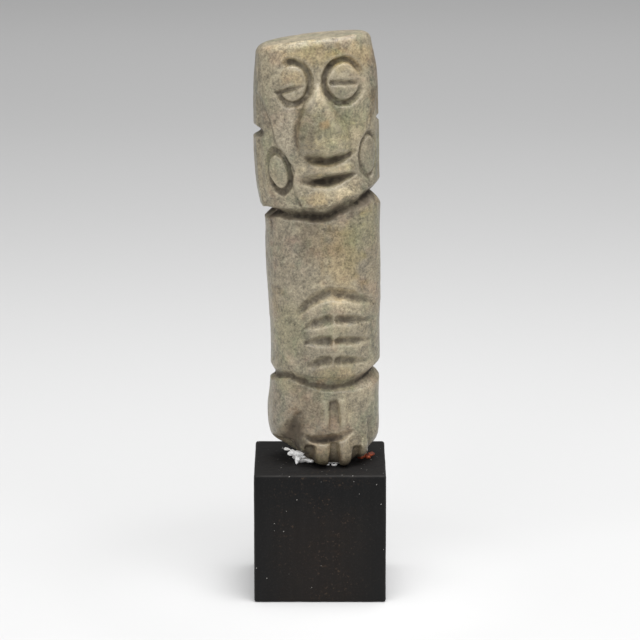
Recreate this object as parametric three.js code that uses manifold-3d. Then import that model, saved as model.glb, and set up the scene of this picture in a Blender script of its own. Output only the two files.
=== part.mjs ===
import * as THREE from "three";
import { mergeVertices } from "three/addons/utils/BufferGeometryUtils.js";
import { RoundedBoxGeometry } from "three/addons/geometries/RoundedBoxGeometry.js";
import Module from "manifold-3d";

const wasm = await Module();
wasm.setup();

// Driving dimensions, in millimetres and degrees. The object stands on z = 0 and faces -Y.
const STAND_EDGE = 25.4;
const STAND_ROUNDING = 0.45;
const BED_THICKNESS = 0.5;
const CLEARANCE = 0.3;
const FIGURE_TURN = 10;
const FIGURE_OFFSET = 0.4;
const FIGURE_HEIGHT = 81.7;
const CROWN_ROUNDING = 1.6;

// The crown rises to one side, droops at its lower end and falls from the front to the back; the
// slope begins at one height of the head and is full at the next.
const CROWN = { slant: 0.075, droop: 0.0065, fall: 0.08, middle: -1.5, back: 8, from: 72, full: 80 };

// How boxy the plan of the column is: the front is rounder than the back.
const FRONT_SQUARENESS = 2.5;
const BACK_SQUARENESS = 3;

// Sections of the stone blank from the underside up: height, middle of the width, half width,
// depth before the axis and depth behind it.
const SECTIONS = [
  { z: 0, middle: 1.5, half: 4.3, front: 7.8, back: 4.5 },
  { z: 0.8, middle: 1.2, half: 6.05, front: 8.4, back: 5.8 },
  { z: 1.8, middle: 0.95, half: 7.7, front: 8.6, back: 6.6 },
  { z: 3.5, middle: 0.6, half: 9.8, front: 8.5, back: 7.3 },
  { z: 5.5, middle: 0.45, half: 10.6, front: 8.1, back: 7.6 },
  { z: 10.2, middle: 0.3, half: 10.8, front: 8.0, back: 7.7 },
  { z: 13.8, middle: 0.5, half: 10.6, front: 8.0, back: 7.7 },
  { z: 17, middle: 0.6, half: 10.6, front: 8.0, back: 7.7 },
  { z: 22.2, middle: 0.65, half: 10.55, front: 8.2, back: 7.7 },
  { z: 30.4, middle: 0.5, half: 10.7, front: 8.2, back: 7.8 },
  { z: 39.9, middle: 0.2, half: 11.0, front: 8.1, back: 7.8 },
  { z: 47.5, middle: 0.1, half: 11.1, front: 7.9, back: 7.8 },
  { z: 50.5, middle: -0.3, half: 11.5, front: 7.8, back: 7.8 },
  { z: 55.1, middle: -0.75, half: 11.9, front: 7.8, back: 7.9 },
  { z: 60.9, middle: -1.0, half: 12.1, front: 7.7, back: 8.0 },
  { z: 67.8, middle: -1.1, half: 12.0, front: 7.6, back: 8.0 },
  { z: 74.8, middle: -1.2, half: 11.8, front: 7.5, back: 8.0 },
  { z: 79.4, middle: -1.6, half: 11.1, front: 7.3, back: 7.8 },
  { z: 82, middle: -1.65, half: 10.85, front: 7.2, back: 7.6 },
];

// Low swellings of the front: the belly under the folded hands, and the chin.
const SWELLINGS = [
  { x: 1.2, z: 26, across: 8.5, up: 11, rise: 0.6 },
  { x: 1.4, z: 51.6, across: 7.5, up: 4.4, rise: 1.0 },
];

// Rings drilled with a tube for the eyes and the ear spools. Each is fainter on the side given by
// the angle, where the drill was held clear of the stone, and may lean over sideways.
const DRILLED_RINGS = [
  {
    name: "left eye", x: -6.85, z: 74.4, across: 3.25, up: 4.1,
    wall: 0.8, depth: 1.1, side: 163, faint: 0.15,
  },
  {
    name: "right eye", x: 2.95, z: 74.55, across: 3.75, up: 4.15,
    wall: 0.8, depth: 1.1, side: 0, faint: 0.4,
  },
  {
    name: "left spool", x: -9.8, z: 57.3, across: 2.5, up: 3.95, lean: 0.18,
    wall: 0.95, depth: 1.35, side: 188, faint: 0.5,
  },
  {
    name: "right spool", x: 8.5, z: 60.1, across: 2.4, up: 4.05,
    wall: 0.7, depth: 1, side: 0, faint: 0.75,
  },
];

// Saw grooves on the front: middle line from end to end in the column's width and height.
const FRONT_GROOVES = [
  { name: "left eyelid slit", line: [[-10.1, 72.2], [-7.4, 73.3], [-4.5, 74]], half: 0.65, depth: 0.8 },
  { name: "right eyelid slit", line: [[0, 74.4], [3.1, 74.3], [6.1, 74]], half: 0.6, depth: 0.75 },
  { name: "nostril groove", line: [[-4.7, 61.5], [0.2, 59.75], [5.2, 61.4]], half: 1.15, depth: 1.2 },
  { name: "mouth", line: [[-5.3, 55.7], [-0.6, 56], [5.3, 57.1]], half: 1.25, depth: 1.8 },
  {
    name: "left cheek edge", line: [[-12.1, 70.5], [-10.2, 64.4], [-7.6, 59.8]],
    half: 0.55, depth: 0.6,
  },
  { name: "right cheek edge", line: [[9.6, 71], [8.4, 66.2], [6.3, 62.2]], half: 0.55, depth: 0.6 },
  { name: "left jaw", line: [[-6.4, 57.6], [-6.7, 54.4], [-5.1, 51]], half: 0.55, depth: 0.6 },
  { name: "right jaw", line: [[6.4, 57.2], [7.4, 55], [9.2, 53.2]], half: 0.5, depth: 0.5 },
  { name: "left wrist line", line: [[-6.8, 29], [-2.6, 32.6], [1.6, 33.7]], half: 1.1, depth: 1.25 },
  { name: "right wrist line", line: [[-0.3, 33.7], [4.2, 33], [9.6, 31.2]], half: 1.05, depth: 1.15 },
  { name: "first left finger", line: [[-5.2, 27], [-2.1, 28.4], [0.9, 29.1]], half: 0.95, depth: 1.1 },
  { name: "first right finger", line: [[0.9, 28.9], [4.3, 28.7], [9, 28]], half: 0.9, depth: 1.1 },
  { name: "second left finger", line: [[-5, 24.3], [-1.8, 24.8], [0.9, 25]], half: 0.95, depth: 1.1 },
  { name: "second right finger", line: [[0.9, 24.8], [4.2, 24.6], [8.8, 24.3]], half: 0.9, depth: 1.1 },
  {
    name: "third left finger", line: [[-4.6, 19.4], [-1.8, 20.6], [0.7, 21.2]],
    half: 0.95, depth: 1.1,
  },
  { name: "third right finger", line: [[0.9, 21], [4.1, 20.6], [8.4, 20.2]], half: 0.9, depth: 1.1 },
  {
    name: "leg slot", line: [[1, 13.2], [1, 10], [1, 6.8]],
    half: 1.05, depth: 0.9, floor: 0.7, ends: "blunt",
  },
  { name: "ankle fold", line: [[-5.6, 6.8], [-0.2, 5.3], [5.4, 7.2]], half: 0.95, depth: 0.95 },
  {
    name: "left haunch hollow", line: [[-4.6, 11.2], [-6.9, 7.1], [-7, 2.6]],
    half: 2.6, depth: 1.9, ends: "open",
  },
  {
    name: "right haunch hollow", line: [[8, 9.5], [8.5, 6], [8.2, 2.8]],
    half: 1.1, depth: 0.9, ends: "open",
  },
];

// Slots between the toes are sawn straight back and run out under the feet; the first is the break
// that took the tip of the left toe.
const TOE_SLOTS = [
  { x: -5.4, top: 2.6, half: 1.9, depth: 2.2 },
  { x: -3.75, top: 4.3, half: 1.1, depth: 1.4 },
  { x: 1, top: 4.9, half: 0.95, depth: 1.7 },
  { x: 5.4, top: 3.7, half: 0.9, depth: 1.3 },
];

// Grooves sawn right round the column, as heights at eight points counted from the front to the
// right: front, front right, right, back right, back, back left, left, front left.
const NECK = { heights: [49.2, 52.8, 52.5, 51.9, 50.6, 49.4, 48.8, 49], half: 1.7, depth: 2.1 };
const WAIST = { heights: [15.5, 17.3, 17.8, 17.4, 17, 16.7, 16.9, 17.5], half: 1.2, depth: 1.2 };

// Nicks at the outer rims of the ears, sawn straight in from each side.
const EAR_NICKS = [
  { x: -13.1, y: 1.5, z: 64.3, half: 0.75, depth: 1.4 },
  { x: 11, y: -1, z: 66.6, half: 0.42, depth: 0.6 },
];
const NICK_LENGTH = 11;

// The nose is a broad wedge from the bridge down to a steep base above the nostril groove: at each
// height its left and right edges, its ridge and how far that stands out.
const NOSE_ROWS = [
  { z: 74.4, left: -2.6, right: -1.6, ridge: -2.1, rise: 0.2 },
  { z: 72.7, left: -3.4, right: -1.1, ridge: -2.1, rise: 0.95 },
  { z: 70, left: -4.9, right: 0.8, ridge: -1.7, rise: 1.5 },
  { z: 67.4, left: -5.9, right: 2.6, ridge: -1.4, rise: 2.15 },
  { z: 65.2, left: -6.2, right: 3.7, ridge: -1.2, rise: 2.4 },
  { z: 63.2, left: -6.2, right: 4.3, ridge: -1.1, rise: 2.4 },
  { z: 61.7, left: -5.8, right: 4.1, ridge: -1, rise: 1.9 },
  { z: 60.6, left: -5.3, right: 3.9, ridge: -0.9, rise: 0.9 },
];

// White putty: a thin bed under the feet and the lumps squeezed out of it at the front left.
// Heights of the putty and the wax are counted from the top of the stand.
const PUTTY_LUMPS = [
  { at: [1.2, -0.4, -0.1], size: [4.6, 5.7, 0.6] },
  { at: [-4.1, -2.7, 0.4], size: [2.3, 1.8, 0.8], turn: -50 },
  { at: [-5.1, -3.6, 1.6], size: [1.1, 0.75, 0.75], turn: -30 },
  { at: [-4.1, -4.6, 1.6], size: [1, 0.75, 0.75], turn: -25 },
  { at: [-6.1, -2.9, 1.9], size: [0.9, 0.4, 0.4], turn: -30 },
  { at: [-4.4, -4.6, 0.7], size: [0.6, 0.6, 0.9] },
];

// Crumb of orange wax, rolled into a little twist, beside the right foot.
const WAX_LUMPS = [
  { at: [8, -0.9, 0.45], size: [0.85, 0.45, 0.42], turn: 15 },
  { at: [8.9, -0.6, 0.5], size: [0.75, 0.45, 0.42], turn: -30 },
  { at: [9.8, -0.2, 0.65], size: [0.65, 0.45, 0.45], turn: 20 },
  { at: [10.3, 0, 0.8], size: [0.4, 0.35, 0.35] },
];
const LUMP_FOOT = 0.02;

const radians = THREE.MathUtils.degToRad;

// Smooth curve through the section values at a given height.
function sectionAt(z) {
  const last = SECTIONS.length - 1;
  const level = THREE.MathUtils.clamp(z, SECTIONS[0].z, SECTIONS[last].z);
  let k = 0;
  while (k < last - 1 && SECTIONS[k + 1].z < level) {
    k += 1;
  }
  const [before, low, high, after] = [k - 1, k, k + 1, k + 2].map(
    (i) => SECTIONS[THREE.MathUtils.clamp(i, 0, last)],
  );
  const span = high.z - low.z;
  const s = (level - low.z) / span;
  const blend = (key) => {
    const slopeLow = ((high[key] - before[key]) / (high.z - before.z)) * span;
    const slopeHigh = ((after[key] - low[key]) / (after.z - low.z)) * span;
    const rise = high[key] - low[key];
    const bend = 3 * rise - 2 * slopeLow - slopeHigh;
    return low[key] + s * (slopeLow + s * (bend + s * (slopeLow + slopeHigh - 2 * rise)));
  };
  return { middle: blend("middle"), half: blend("half"), front: blend("front"), back: blend("back") };
}

// How far the swellings of the front stand out of the plain column.
function swellAt(x, z) {
  return SWELLINGS.reduce((total, swell) => {
    const reach = Math.hypot((x - swell.x) / swell.across, (z - swell.z) / swell.up);
    return reach < 1 ? total + swell.rise * (1 - reach * reach) ** 2 : total;
  }, 0);
}

// Lift of the slanting crown.
function crownLift(x, y, z) {
  const across = x - CROWN.middle;
  const sideways = CROWN.slant * across - CROWN.droop * Math.min(across, 0) ** 2;
  return (sideways + CROWN.fall * (CROWN.back - y)) * THREE.MathUtils.smoothstep(z, CROWN.from, CROWN.full);
}

// Point of the blank at an angle counted from the front towards the right, drawn in by an inset.
function columnPoint(angle, z, inset = 0) {
  const section = sectionAt(z);
  const toFront = Math.cos(angle) > 0;
  const power = 2 / (toFront ? FRONT_SQUARENESS : BACK_SQUARENESS);
  const across = Math.sign(Math.sin(angle)) * Math.abs(Math.sin(angle)) ** power;
  const along = Math.abs(Math.cos(angle)) ** power;
  const x = section.middle + (section.half - inset) * across;
  const y = along * (toFront ? -(section.front - inset) : section.back - inset);
  const swell = toFront ? swellAt(x, z) : 0;
  return new THREE.Vector3(x, y - swell, z + crownLift(x, y, z));
}

// Point of the front at a given place across the width, on one level of the blank, stopping just
// short of the sides.
function frontPoint(x, z) {
  const widest = 0.995;
  const section = sectionAt(z);
  const share = Math.min(Math.abs(x - section.middle) / section.half, widest);
  const y = -section.front * (1 - share ** FRONT_SQUARENESS) ** (1 / FRONT_SQUARENESS);
  return new THREE.Vector3(x, y - swellAt(x, z), z + crownLift(x, y, z));
}

// Level of the blank whose point, once lifted with the crown, is at a given height.
function levelUnder(height, pointAt) {
  const rounds = 5;
  let level = height;
  for (let round = 0; round < rounds; round += 1) {
    level -= pointAt(level).z - height;
  }
  return level;
}

// Place and outward direction on the front at a given height.
function frontFrame(x, height) {
  const step = 0.05;
  const z = levelUnder(height, (level) => frontPoint(x, level));
  const across = frontPoint(x + step, z).sub(frontPoint(x - step, z));
  const up = frontPoint(x, z + step).sub(frontPoint(x, z - step));
  return { point: frontPoint(x, z), out: across.cross(up).normalize() };
}

// Place and outward direction anywhere round the column at a given height.
function columnFrame(angle, height) {
  const step = 0.02;
  const z = levelUnder(height, (level) => columnPoint(angle, level));
  const around = columnPoint(angle + step, z).sub(columnPoint(angle - step, z));
  const up = columnPoint(angle, z + step).sub(columnPoint(angle, z - step));
  return { point: columnPoint(angle, z), out: around.cross(up).normalize() };
}

// Closed shell through rings of points: each ring joins the next, and the ends close on themselves
// or join up when the run is a loop.
function shellThrough(rings, loop = false) {
  const size = rings[0].length;
  const positions = rings.flat().flatMap((p) => [p.x, p.y, p.z]);
  const index = [];
  const steps = loop ? rings.length : rings.length - 1;
  for (let r = 0; r < steps; r += 1) {
    const next = (r + 1) % rings.length;
    for (let c = 0; c < size; c += 1) {
      const d = (c + 1) % size;
      index.push(r * size + c, r * size + d, next * size + d);
      index.push(r * size + c, next * size + d, next * size + c);
    }
  }
  if (!loop) {
    const tail = (rings.length - 1) * size;
    for (let c = 1; c < size - 1; c += 1) {
      index.push(0, c + 1, c);
      index.push(tail, tail + c, tail + c + 1);
    }
  }
  const geometry = new THREE.BufferGeometry();
  geometry.setAttribute("position", new THREE.Float32BufferAttribute(positions, 3));
  geometry.setIndex(enclosedVolume(positions, index) < 0 ? index.reverse() : index);
  return geometry;
}

// Signed volume inside a set of triangles, which tells which way they face.
function enclosedVolume(positions, index) {
  const corner = (i) => new THREE.Vector3().fromArray(positions, 3 * i);
  let total = 0;
  for (let i = 0; i < index.length; i += 3) {
    total += corner(index[i]).dot(corner(index[i + 1]).cross(corner(index[i + 2])));
  }
  return total / 6;
}

// Solid made from a closed geometry.
function solidFrom(geometry) {
  const bare = geometry.clone();
  bare.deleteAttribute("normal");
  bare.deleteAttribute("uv");
  const welded = mergeVertices(bare, 1e-4);
  const mesh = new wasm.Mesh({
    numProp: 3,
    vertProperties: new Float32Array(welded.attributes.position.array),
    triVerts: new Uint32Array(welded.index.array),
  });
  return new wasm.Manifold(mesh);
}

// Geometry of a finished solid.
function geometryFrom(solid) {
  const mesh = solid.getMesh();
  const geometry = new THREE.BufferGeometry();
  geometry.setAttribute("position", new THREE.BufferAttribute(new Float32Array(mesh.vertProperties), 3));
  geometry.setIndex(new THREE.BufferAttribute(new Uint32Array(mesh.triVerts), 1));
  geometry.computeVertexNormals();
  return geometry;
}

// Swelling of a saw cut along its length: full in the middle and thin at both ends, nearly even, or
// opening from a thin start to its full size at the end.
const SAW_ENDS = {
  thin: (s) => Math.max(0.25, Math.sqrt(Math.sin(Math.PI * s))),
  blunt: (s) => Math.min(1, 0.6 + 2.4 * Math.min(s, 1 - s)),
  open: (s) => Math.min(1, 0.2 + 1.1 * s),
};
const RUN_OUT = 4;

// Cutter that follows places on the surface. Its section is wide at the mouth and narrows to the
// floor; worn grooves also have a broad shoulder above the narrow part.
function grooveCutter(frames, { half, depth, floor = 0.3, worn = false, loop = false, swell }) {
  const proud = 0.8;
  const wornFlare = 1.25;
  const wornShoulder = [[1, 0.02], [0.5, 0.4]];
  const count = frames.length;
  const flare = worn ? wornFlare : 1 + (1 - floor) * (proud / depth);
  const wall = [[flare, -proud / depth], ...(worn ? wornShoulder : []), [floor, 1]];
  const outline = [...wall, ...wall.map(([across, down]) => [-across, down]).reverse()];
  const rings = frames.map(({ point, out }, i) => {
    const ahead = frames[loop ? (i + 1) % count : Math.min(i + 1, count - 1)].point;
    const behind = frames[loop ? (i + count - 1) % count : Math.max(i - 1, 0)].point;
    const side = ahead.clone().sub(behind).cross(out).normalize();
    const size = swell(loop ? i / count : i / (count - 1));
    return outline.map(([across, down]) =>
      point.clone().addScaledVector(side, half * across * size).addScaledVector(out, -depth * down * size),
    );
  });
  return solidFrom(shellThrough(rings, loop));
}

// Adds one more place straight on from the last two, so that a cutter leaves the stone.
function runOut(frames) {
  const [before, last] = frames.slice(-2);
  const onward = last.point.clone().sub(before.point).normalize();
  frames.push({ point: last.point.clone().addScaledVector(onward, RUN_OUT), out: last.out });
}

// Cutter for one saw groove on the front.
function frontGroove({ line, half, depth, floor, ends = "thin" }) {
  const steps = 6;
  const curve = new THREE.QuadraticBezierCurve(
    new THREE.Vector2(...line[0]),
    new THREE.Vector2(
      2 * line[1][0] - 0.5 * (line[0][0] + line[2][0]),
      2 * line[1][1] - 0.5 * (line[0][1] + line[2][1]),
    ),
    new THREE.Vector2(...line[2]),
  );
  const frames = curve.getPoints(steps).map((p) => frontFrame(p.x, p.y));
  if (ends === "open") {
    runOut(frames);
  }
  return grooveCutter(frames, { half, depth, floor, swell: SAW_ENDS[ends] });
}

// Cutter of a drilled ring.
function drilledRing({ x, z, across, up, lean = 0, wall, depth, side, faint }) {
  const steps = 22;
  const floor = 0.4;
  const { point, out } = frontFrame(x, z);
  const sideways = new THREE.Vector3(0, 0, 1).cross(out).normalize();
  const upward = out.clone().cross(sideways);
  const frames = [];
  for (let i = 0; i < steps; i += 1) {
    const angle = (2 * Math.PI * i) / steps;
    const rise = up * Math.sin(angle);
    const place = point
      .clone()
      .addScaledVector(sideways, across * Math.cos(angle) - lean * rise)
      .addScaledVector(upward, rise);
    frames.push(nearestFrame(place, out));
  }
  const swell = (s) => 0.5 * (1 + faint) - 0.5 * (1 - faint) * Math.cos(2 * Math.PI * s - radians(side));
  return grooveCutter(frames, { half: wall, depth, floor, loop: true, swell });
}

// Surface place reached from a point by moving along a direction.
function nearestFrame(place, direction) {
  const widest = 115;
  const step = 0.5;
  let best = null;
  for (let angle = -widest; angle <= widest; angle += step) {
    const frame = columnFrame(radians(angle), place.z);
    const apart = frame.point.clone().sub(place);
    const miss = apart.addScaledVector(direction, -apart.dot(direction)).length();
    if (best === null || miss < best.miss) {
      best = { miss, frame };
    }
  }
  return best.frame;
}

// Cutter of a groove that runs right round the column.
function girdleGroove({ heights, half, depth }) {
  const steps = 36;
  const floor = 0.12;
  const ring = new THREE.CatmullRomCurve3(
    [...heights, heights[0]].map((z, i) => new THREE.Vector3(i, 0, z)),
  );
  const frames = [];
  for (let i = 0; i < steps; i += 1) {
    const level = ring.getPoint(i / steps).z;
    frames.push(columnFrame((2 * Math.PI * i) / steps, level));
  }
  return grooveCutter(frames, { half, depth, floor, worn: true, loop: true, swell: () => 1 });
}

// Cutter of one slot between two toes.
function toeSlot({ x, top, half, depth }) {
  const steps = 4;
  const floor = 0.7;
  const opening = (s) => Math.min(1, 0.35 + 2.5 * s);
  const forward = new THREE.Vector3(0, -1, 0);
  const frames = [];
  for (let i = 0; i <= steps; i += 1) {
    frames.push({ point: frontPoint(x, top * (1 - i / steps)), out: forward });
  }
  runOut(frames);
  return grooveCutter(frames, { half, depth, floor, swell: opening });
}

// Cutter of a nick at the rim of an ear.
function earNick({ x, y, z, half, depth }) {
  const outward = Math.sign(x);
  const mouth = 2 * half;
  const floor = 0.3 * half;
  const rings = [-0.5, 0.5].map((end) =>
    [
      [x + outward, z + mouth],
      [x - outward * depth, z + floor],
      [x - outward * depth, z - floor],
      [x + outward, z - mouth],
    ].map(([across, height]) => new THREE.Vector3(across, y + end * NICK_LENGTH, height)),
  );
  return solidFrom(shellThrough(rings));
}

// Plain column before any carving, with its rounded and slanting crown, grown by a margin.
function stoneBlank(margin = 0) {
  const frontColumns = 22;
  const backColumns = 12;
  const bodyRows = 24;
  const crownRows = 3;
  const crowding = 1.2;
  const angles = [];
  for (let c = 0; c < frontColumns; c += 1) {
    angles.push(Math.PI * (c / frontColumns - 0.5));
  }
  for (let c = 0; c < backColumns; c += 1) {
    angles.push(Math.PI * (c / backColumns + 0.5));
  }
  const rings = [];
  for (let r = 0; r <= bodyRows; r += 1) {
    const share = r / bodyRows;
    const z = (FIGURE_HEIGHT - CROWN_ROUNDING) * share ** crowding;
    rings.push(angles.map((angle) => columnPoint(angle, z, -margin)));
  }
  for (let r = 1; r <= crownRows; r += 1) {
    const turn = (0.5 * Math.PI * r) / crownRows;
    const z = FIGURE_HEIGHT - CROWN_ROUNDING * (1 - Math.sin(turn));
    const inset = CROWN_ROUNDING * (1 - Math.cos(turn));
    rings.push(angles.map((angle) => columnPoint(angle, z, inset - margin)));
  }
  return solidFrom(shellThrough(rings));
}

// Wedge of the nose: its left flank is steep and its right flank runs out flatter into the cheek.
function noseWedge() {
  const halfCount = 4;
  const edgeSunk = 0.1;
  const rootSunk = 1.5;
  const flatter = 1.8;
  const rings = NOSE_ROWS.map(({ z, left, right, ridge, rise }) => {
    const ring = [];
    for (let c = -halfCount; c <= halfCount; c += 1) {
      const share = Math.abs(c / halfCount);
      const { point, out } = frontFrame(THREE.MathUtils.lerp(ridge, c < 0 ? left : right, share), z);
      const profile = c < 0 ? Math.sqrt(1 - share ** 2) : 1 - share ** flatter;
      ring.push(point.addScaledVector(out, rise * profile - edgeSunk));
    }
    for (const x of [right, ridge, left]) {
      const { point, out } = frontFrame(x, z);
      ring.push(point.addScaledVector(out, -rootSunk));
    }
    return ring;
  });
  return solidFrom(shellThrough(rings));
}

// The carved figure in its own upright frame.
function carvedFigure() {
  let figure = stoneBlank().add(noseWedge());
  const cutters = [
    girdleGroove(NECK),
    girdleGroove(WAIST),
    ...DRILLED_RINGS.map(drilledRing),
    ...FRONT_GROOVES.map(frontGroove),
    ...TOE_SLOTS.map(toeSlot),
    ...EAR_NICKS.map(earNick),
  ];
  for (const cutter of cutters) {
    figure = figure.subtract(cutter);
  }
  return figure;
}

// Lump of soft material lying on the stand: a ball stretched along its axes and turned.
function lump({ at: [x, y, height], size, turn = 0 }) {
  const [around, down] = [10, 6];
  const ball = new THREE.SphereGeometry(1, around, down);
  ball.scale(...size);
  ball.rotateZ(radians(turn));
  ball.translate(x, y, STAND_EDGE + height);
  return solidFrom(ball);
}

// Flat-bottomed box that keeps only what lies above a level.
function aboveLevel(z) {
  const edge = 40;
  const box = new THREE.BoxGeometry(edge, edge, edge);
  box.translate(0, 0, z + 0.5 * edge);
  return solidFrom(box);
}

// Puts something carved upright in its place on the stand.
function onStand(geometry) {
  geometry.rotateZ(radians(FIGURE_TURN));
  geometry.translate(FIGURE_OFFSET, 0, STAND_EDGE + BED_THICKNESS);
  return geometry;
}

const figureGeometry = onStand(geometryFrom(carvedFigure()));

const figureMesh = new THREE.Mesh(
  figureGeometry,
  new THREE.MeshStandardMaterial({ color: 0x8b8672, roughness: 0.55, metalness: 0 }),
);
figureMesh.name = "figure";

const standGeometry = new RoundedBoxGeometry(STAND_EDGE, STAND_EDGE, STAND_EDGE, 2, STAND_ROUNDING);
standGeometry.translate(0, 0, STAND_EDGE / 2);
const standMesh = new THREE.Mesh(
  standGeometry,
  new THREE.MeshStandardMaterial({ color: 0x161514, roughness: 0.7, metalness: 0 }),
);
standMesh.name = "stand";

// The putty and the wax keep clear of the stone all round.
const roomGeometry = onStand(geometryFrom(stoneBlank(CLEARANCE)));
roomGeometry.translate(0, 0, -CLEARANCE);
const figureRoom = solidFrom(roomGeometry);

// Lumps run together, cut flat where they lie on the stand and clear of the stone.
function softPiece(lumps) {
  const together = lumps.map(lump).reduce((whole, piece) => whole.add(piece));
  return together.intersect(aboveLevel(STAND_EDGE + LUMP_FOOT)).subtract(figureRoom);
}

const puttyMesh = new THREE.Mesh(
  geometryFrom(softPiece(PUTTY_LUMPS)),
  new THREE.MeshStandardMaterial({ color: 0xdcd8d2, roughness: 0.85, metalness: 0 }),
);
puttyMesh.name = "mounting_putty";

const waxMesh = new THREE.Mesh(
  geometryFrom(softPiece(WAX_LUMPS)),
  new THREE.MeshStandardMaterial({ color: 0xb5441f, roughness: 0.5, metalness: 0 }),
);
waxMesh.name = "wax_crumb";

const object = new THREE.Group();
object.add(standMesh, puttyMesh, waxMesh, figureMesh);

export default object;
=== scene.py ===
import math

import bpy
import numpy as np
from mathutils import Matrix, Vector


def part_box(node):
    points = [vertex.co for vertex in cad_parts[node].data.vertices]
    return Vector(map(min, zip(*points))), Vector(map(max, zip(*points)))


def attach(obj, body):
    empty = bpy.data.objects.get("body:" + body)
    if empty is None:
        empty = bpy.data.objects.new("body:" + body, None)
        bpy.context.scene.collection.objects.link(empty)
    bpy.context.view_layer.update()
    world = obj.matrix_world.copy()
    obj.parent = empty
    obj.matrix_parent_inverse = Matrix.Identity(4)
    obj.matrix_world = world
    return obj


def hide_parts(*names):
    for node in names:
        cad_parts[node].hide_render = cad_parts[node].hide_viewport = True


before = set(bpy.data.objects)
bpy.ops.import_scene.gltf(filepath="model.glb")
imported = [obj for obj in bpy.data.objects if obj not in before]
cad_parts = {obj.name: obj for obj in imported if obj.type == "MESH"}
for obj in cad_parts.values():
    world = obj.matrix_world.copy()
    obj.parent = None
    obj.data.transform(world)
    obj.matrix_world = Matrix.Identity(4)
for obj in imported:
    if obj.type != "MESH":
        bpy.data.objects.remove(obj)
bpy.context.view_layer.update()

# The stand is a one inch cube of wood, its edges eased by hand and brushed with matt black paint.
# Handling has rubbed the edges brown and grey, and pale dust has settled on it.


class Wire:
    """A socket of a node tree in plain arithmetic; each operation adds a Math node."""

    def __init__(self, tree, socket=None):
        self.tree = tree
        self.socket = socket

    def node(self, kind, settings=None, sockets=None, out=0):
        """Adds any node, sets it, joins or fills its sockets and gives one of its outputs."""
        made = self.tree.nodes.new(kind)
        for key, value in (settings or {}).items():
            setattr(made, key, value)
        for key, value in (sockets or {}).items():
            if isinstance(value, Wire):
                self.tree.links.new(value.socket, made.inputs[key])
            else:
                made.inputs[key].default_value = value
        return Wire(self.tree, made.outputs[out] if len(made.outputs) else None)

    def math(self, operation, *values):
        return self.node("ShaderNodeMath", {"operation": operation}, dict(enumerate(values)))

    def __add__(self, other):
        return self.math("ADD", self, other)

    __radd__ = __add__

    def __sub__(self, other):
        return self.math("SUBTRACT", self, other)

    def __rsub__(self, other):
        return self.math("SUBTRACT", other, self)

    def __mul__(self, other):
        return self.math("MULTIPLY", self, other)

    __rmul__ = __mul__

    def __truediv__(self, other):
        return self.math("DIVIDE", self, other)

    def __rtruediv__(self, other):
        return self.math("DIVIDE", other, self)

    def __pow__(self, other):
        return self.math("POWER", self, other)

    def axis(self, index):
        """One coordinate of a vector."""
        return self.node("ShaderNodeSeparateXYZ", None, {0: self}, out=index)

    def vector(self, operation, sockets, out=0):
        """Result of a Vector Math node."""
        return self.node("ShaderNodeVectorMath", {"operation": operation}, sockets, out)

    def fade(self, start, end):
        """0 before start, 1 after end, smooth between."""
        return self.node(
            "ShaderNodeMapRange",
            {"interpolation_type": "SMOOTHSTEP"},
            {"Value": self, "From Min": start, "From Max": end},
        )

    def blend(self, first, second):
        """Colour that goes from first to second as this value goes from 0 to 1."""
        return self.node(
            "ShaderNodeMix", {"data_type": "RGBA"}, {0: self, 6: first, 7: second}, out=2
        )

    def tint(self, colour):
        """Colour multiplied by this value."""
        return self.node(
            "ShaderNodeMix",
            {"data_type": "RGBA", "blend_type": "MULTIPLY"},
            {0: 1.0, 6: colour, 7: self},
            out=2,
        )


def new_finish(name):
    """A material with one shader, and the wires of its tree and of the place on the piece."""
    material = bpy.data.materials.new(name)
    material.use_nodes = True
    tree = material.node_tree
    shader = tree.nodes["Principled BSDF"]
    place = Wire(tree).node("ShaderNodeTexCoord", out=3)
    return material, Wire(tree), shader, place


def feed(shader, name, wire):
    """Joins a wire to one of the shader's sockets."""
    shader.id_data.links.new(wire.socket, shader.inputs[name])


def noise(place, size, detail=3.0, rough=0.55, offset=(0.0, 0.0, 0.0)):
    """Cloudy pattern whose blotches are about the given size across."""
    moved = place.node("ShaderNodeMapping", None, {"Vector": place, "Location": offset})
    return place.node(
        "ShaderNodeTexNoise",
        None,
        {"Vector": moved, "Scale": 1.0 / size, "Detail": detail, "Roughness": rough},
    )


def bump(wire, height, distance, strength=1.0):
    """Surface relief of a material from a height pattern."""
    return wire.node(
        "ShaderNodeBump", None, {"Height": height, "Distance": distance, "Strength": strength}
    )


PAINT_LOW, PAINT_HIGH = (0.0078, 0.0076, 0.0076, 1), (0.0055, 0.0055, 0.0057, 1)
PAINT_WORN = (0.0150, 0.0108, 0.0084, 1)
PAINT_FLECK = (0.046, 0.031, 0.021, 1)
PAINT_GREYED = (0.026, 0.023, 0.021, 1)
PAINT_RUBBED = (0.040, 0.037, 0.034, 1)
BRUSH_DRAWN = (1.0, 1.0, 0.12)
STREAK_SIZE, PATCH_SIZE, SPECKLE_SIZE = 0.0011, 0.006, 0.00035
SPATTER_SIZE, FLECK_SIZE = 0.0015, 0.0005
WORN_FULL, WORN_GONE = 0.003, 0.012
HAZE_FULL, HAZE_GONE = 0.013, 0.022
DARK_FROM, DARK_TO = 0.014, 0.0245
FILM_FROM, FILM_TO = 0.0248, 0.0252
paint, wire, shader, place = new_finish("black_paint")
rub = wire.node("ShaderNodeAttribute", {"attribute_name": "rub"}, out=2)
height_up = place.axis(2)
across = place.axis(0)
brushed = place.node("ShaderNodeMapping", None, {"Vector": place, "Scale": BRUSH_DRAWN})
streaks = noise(brushed, STREAK_SIZE, 4.0)
patches = noise(place, PATCH_SIZE, 4.0, 0.6)
speckle = noise(place, SPECKLE_SIZE, 2.0, 0.7)
centre = 1 - across.math("ABSOLUTE", across).fade(WORN_FULL, WORN_GONE)
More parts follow.
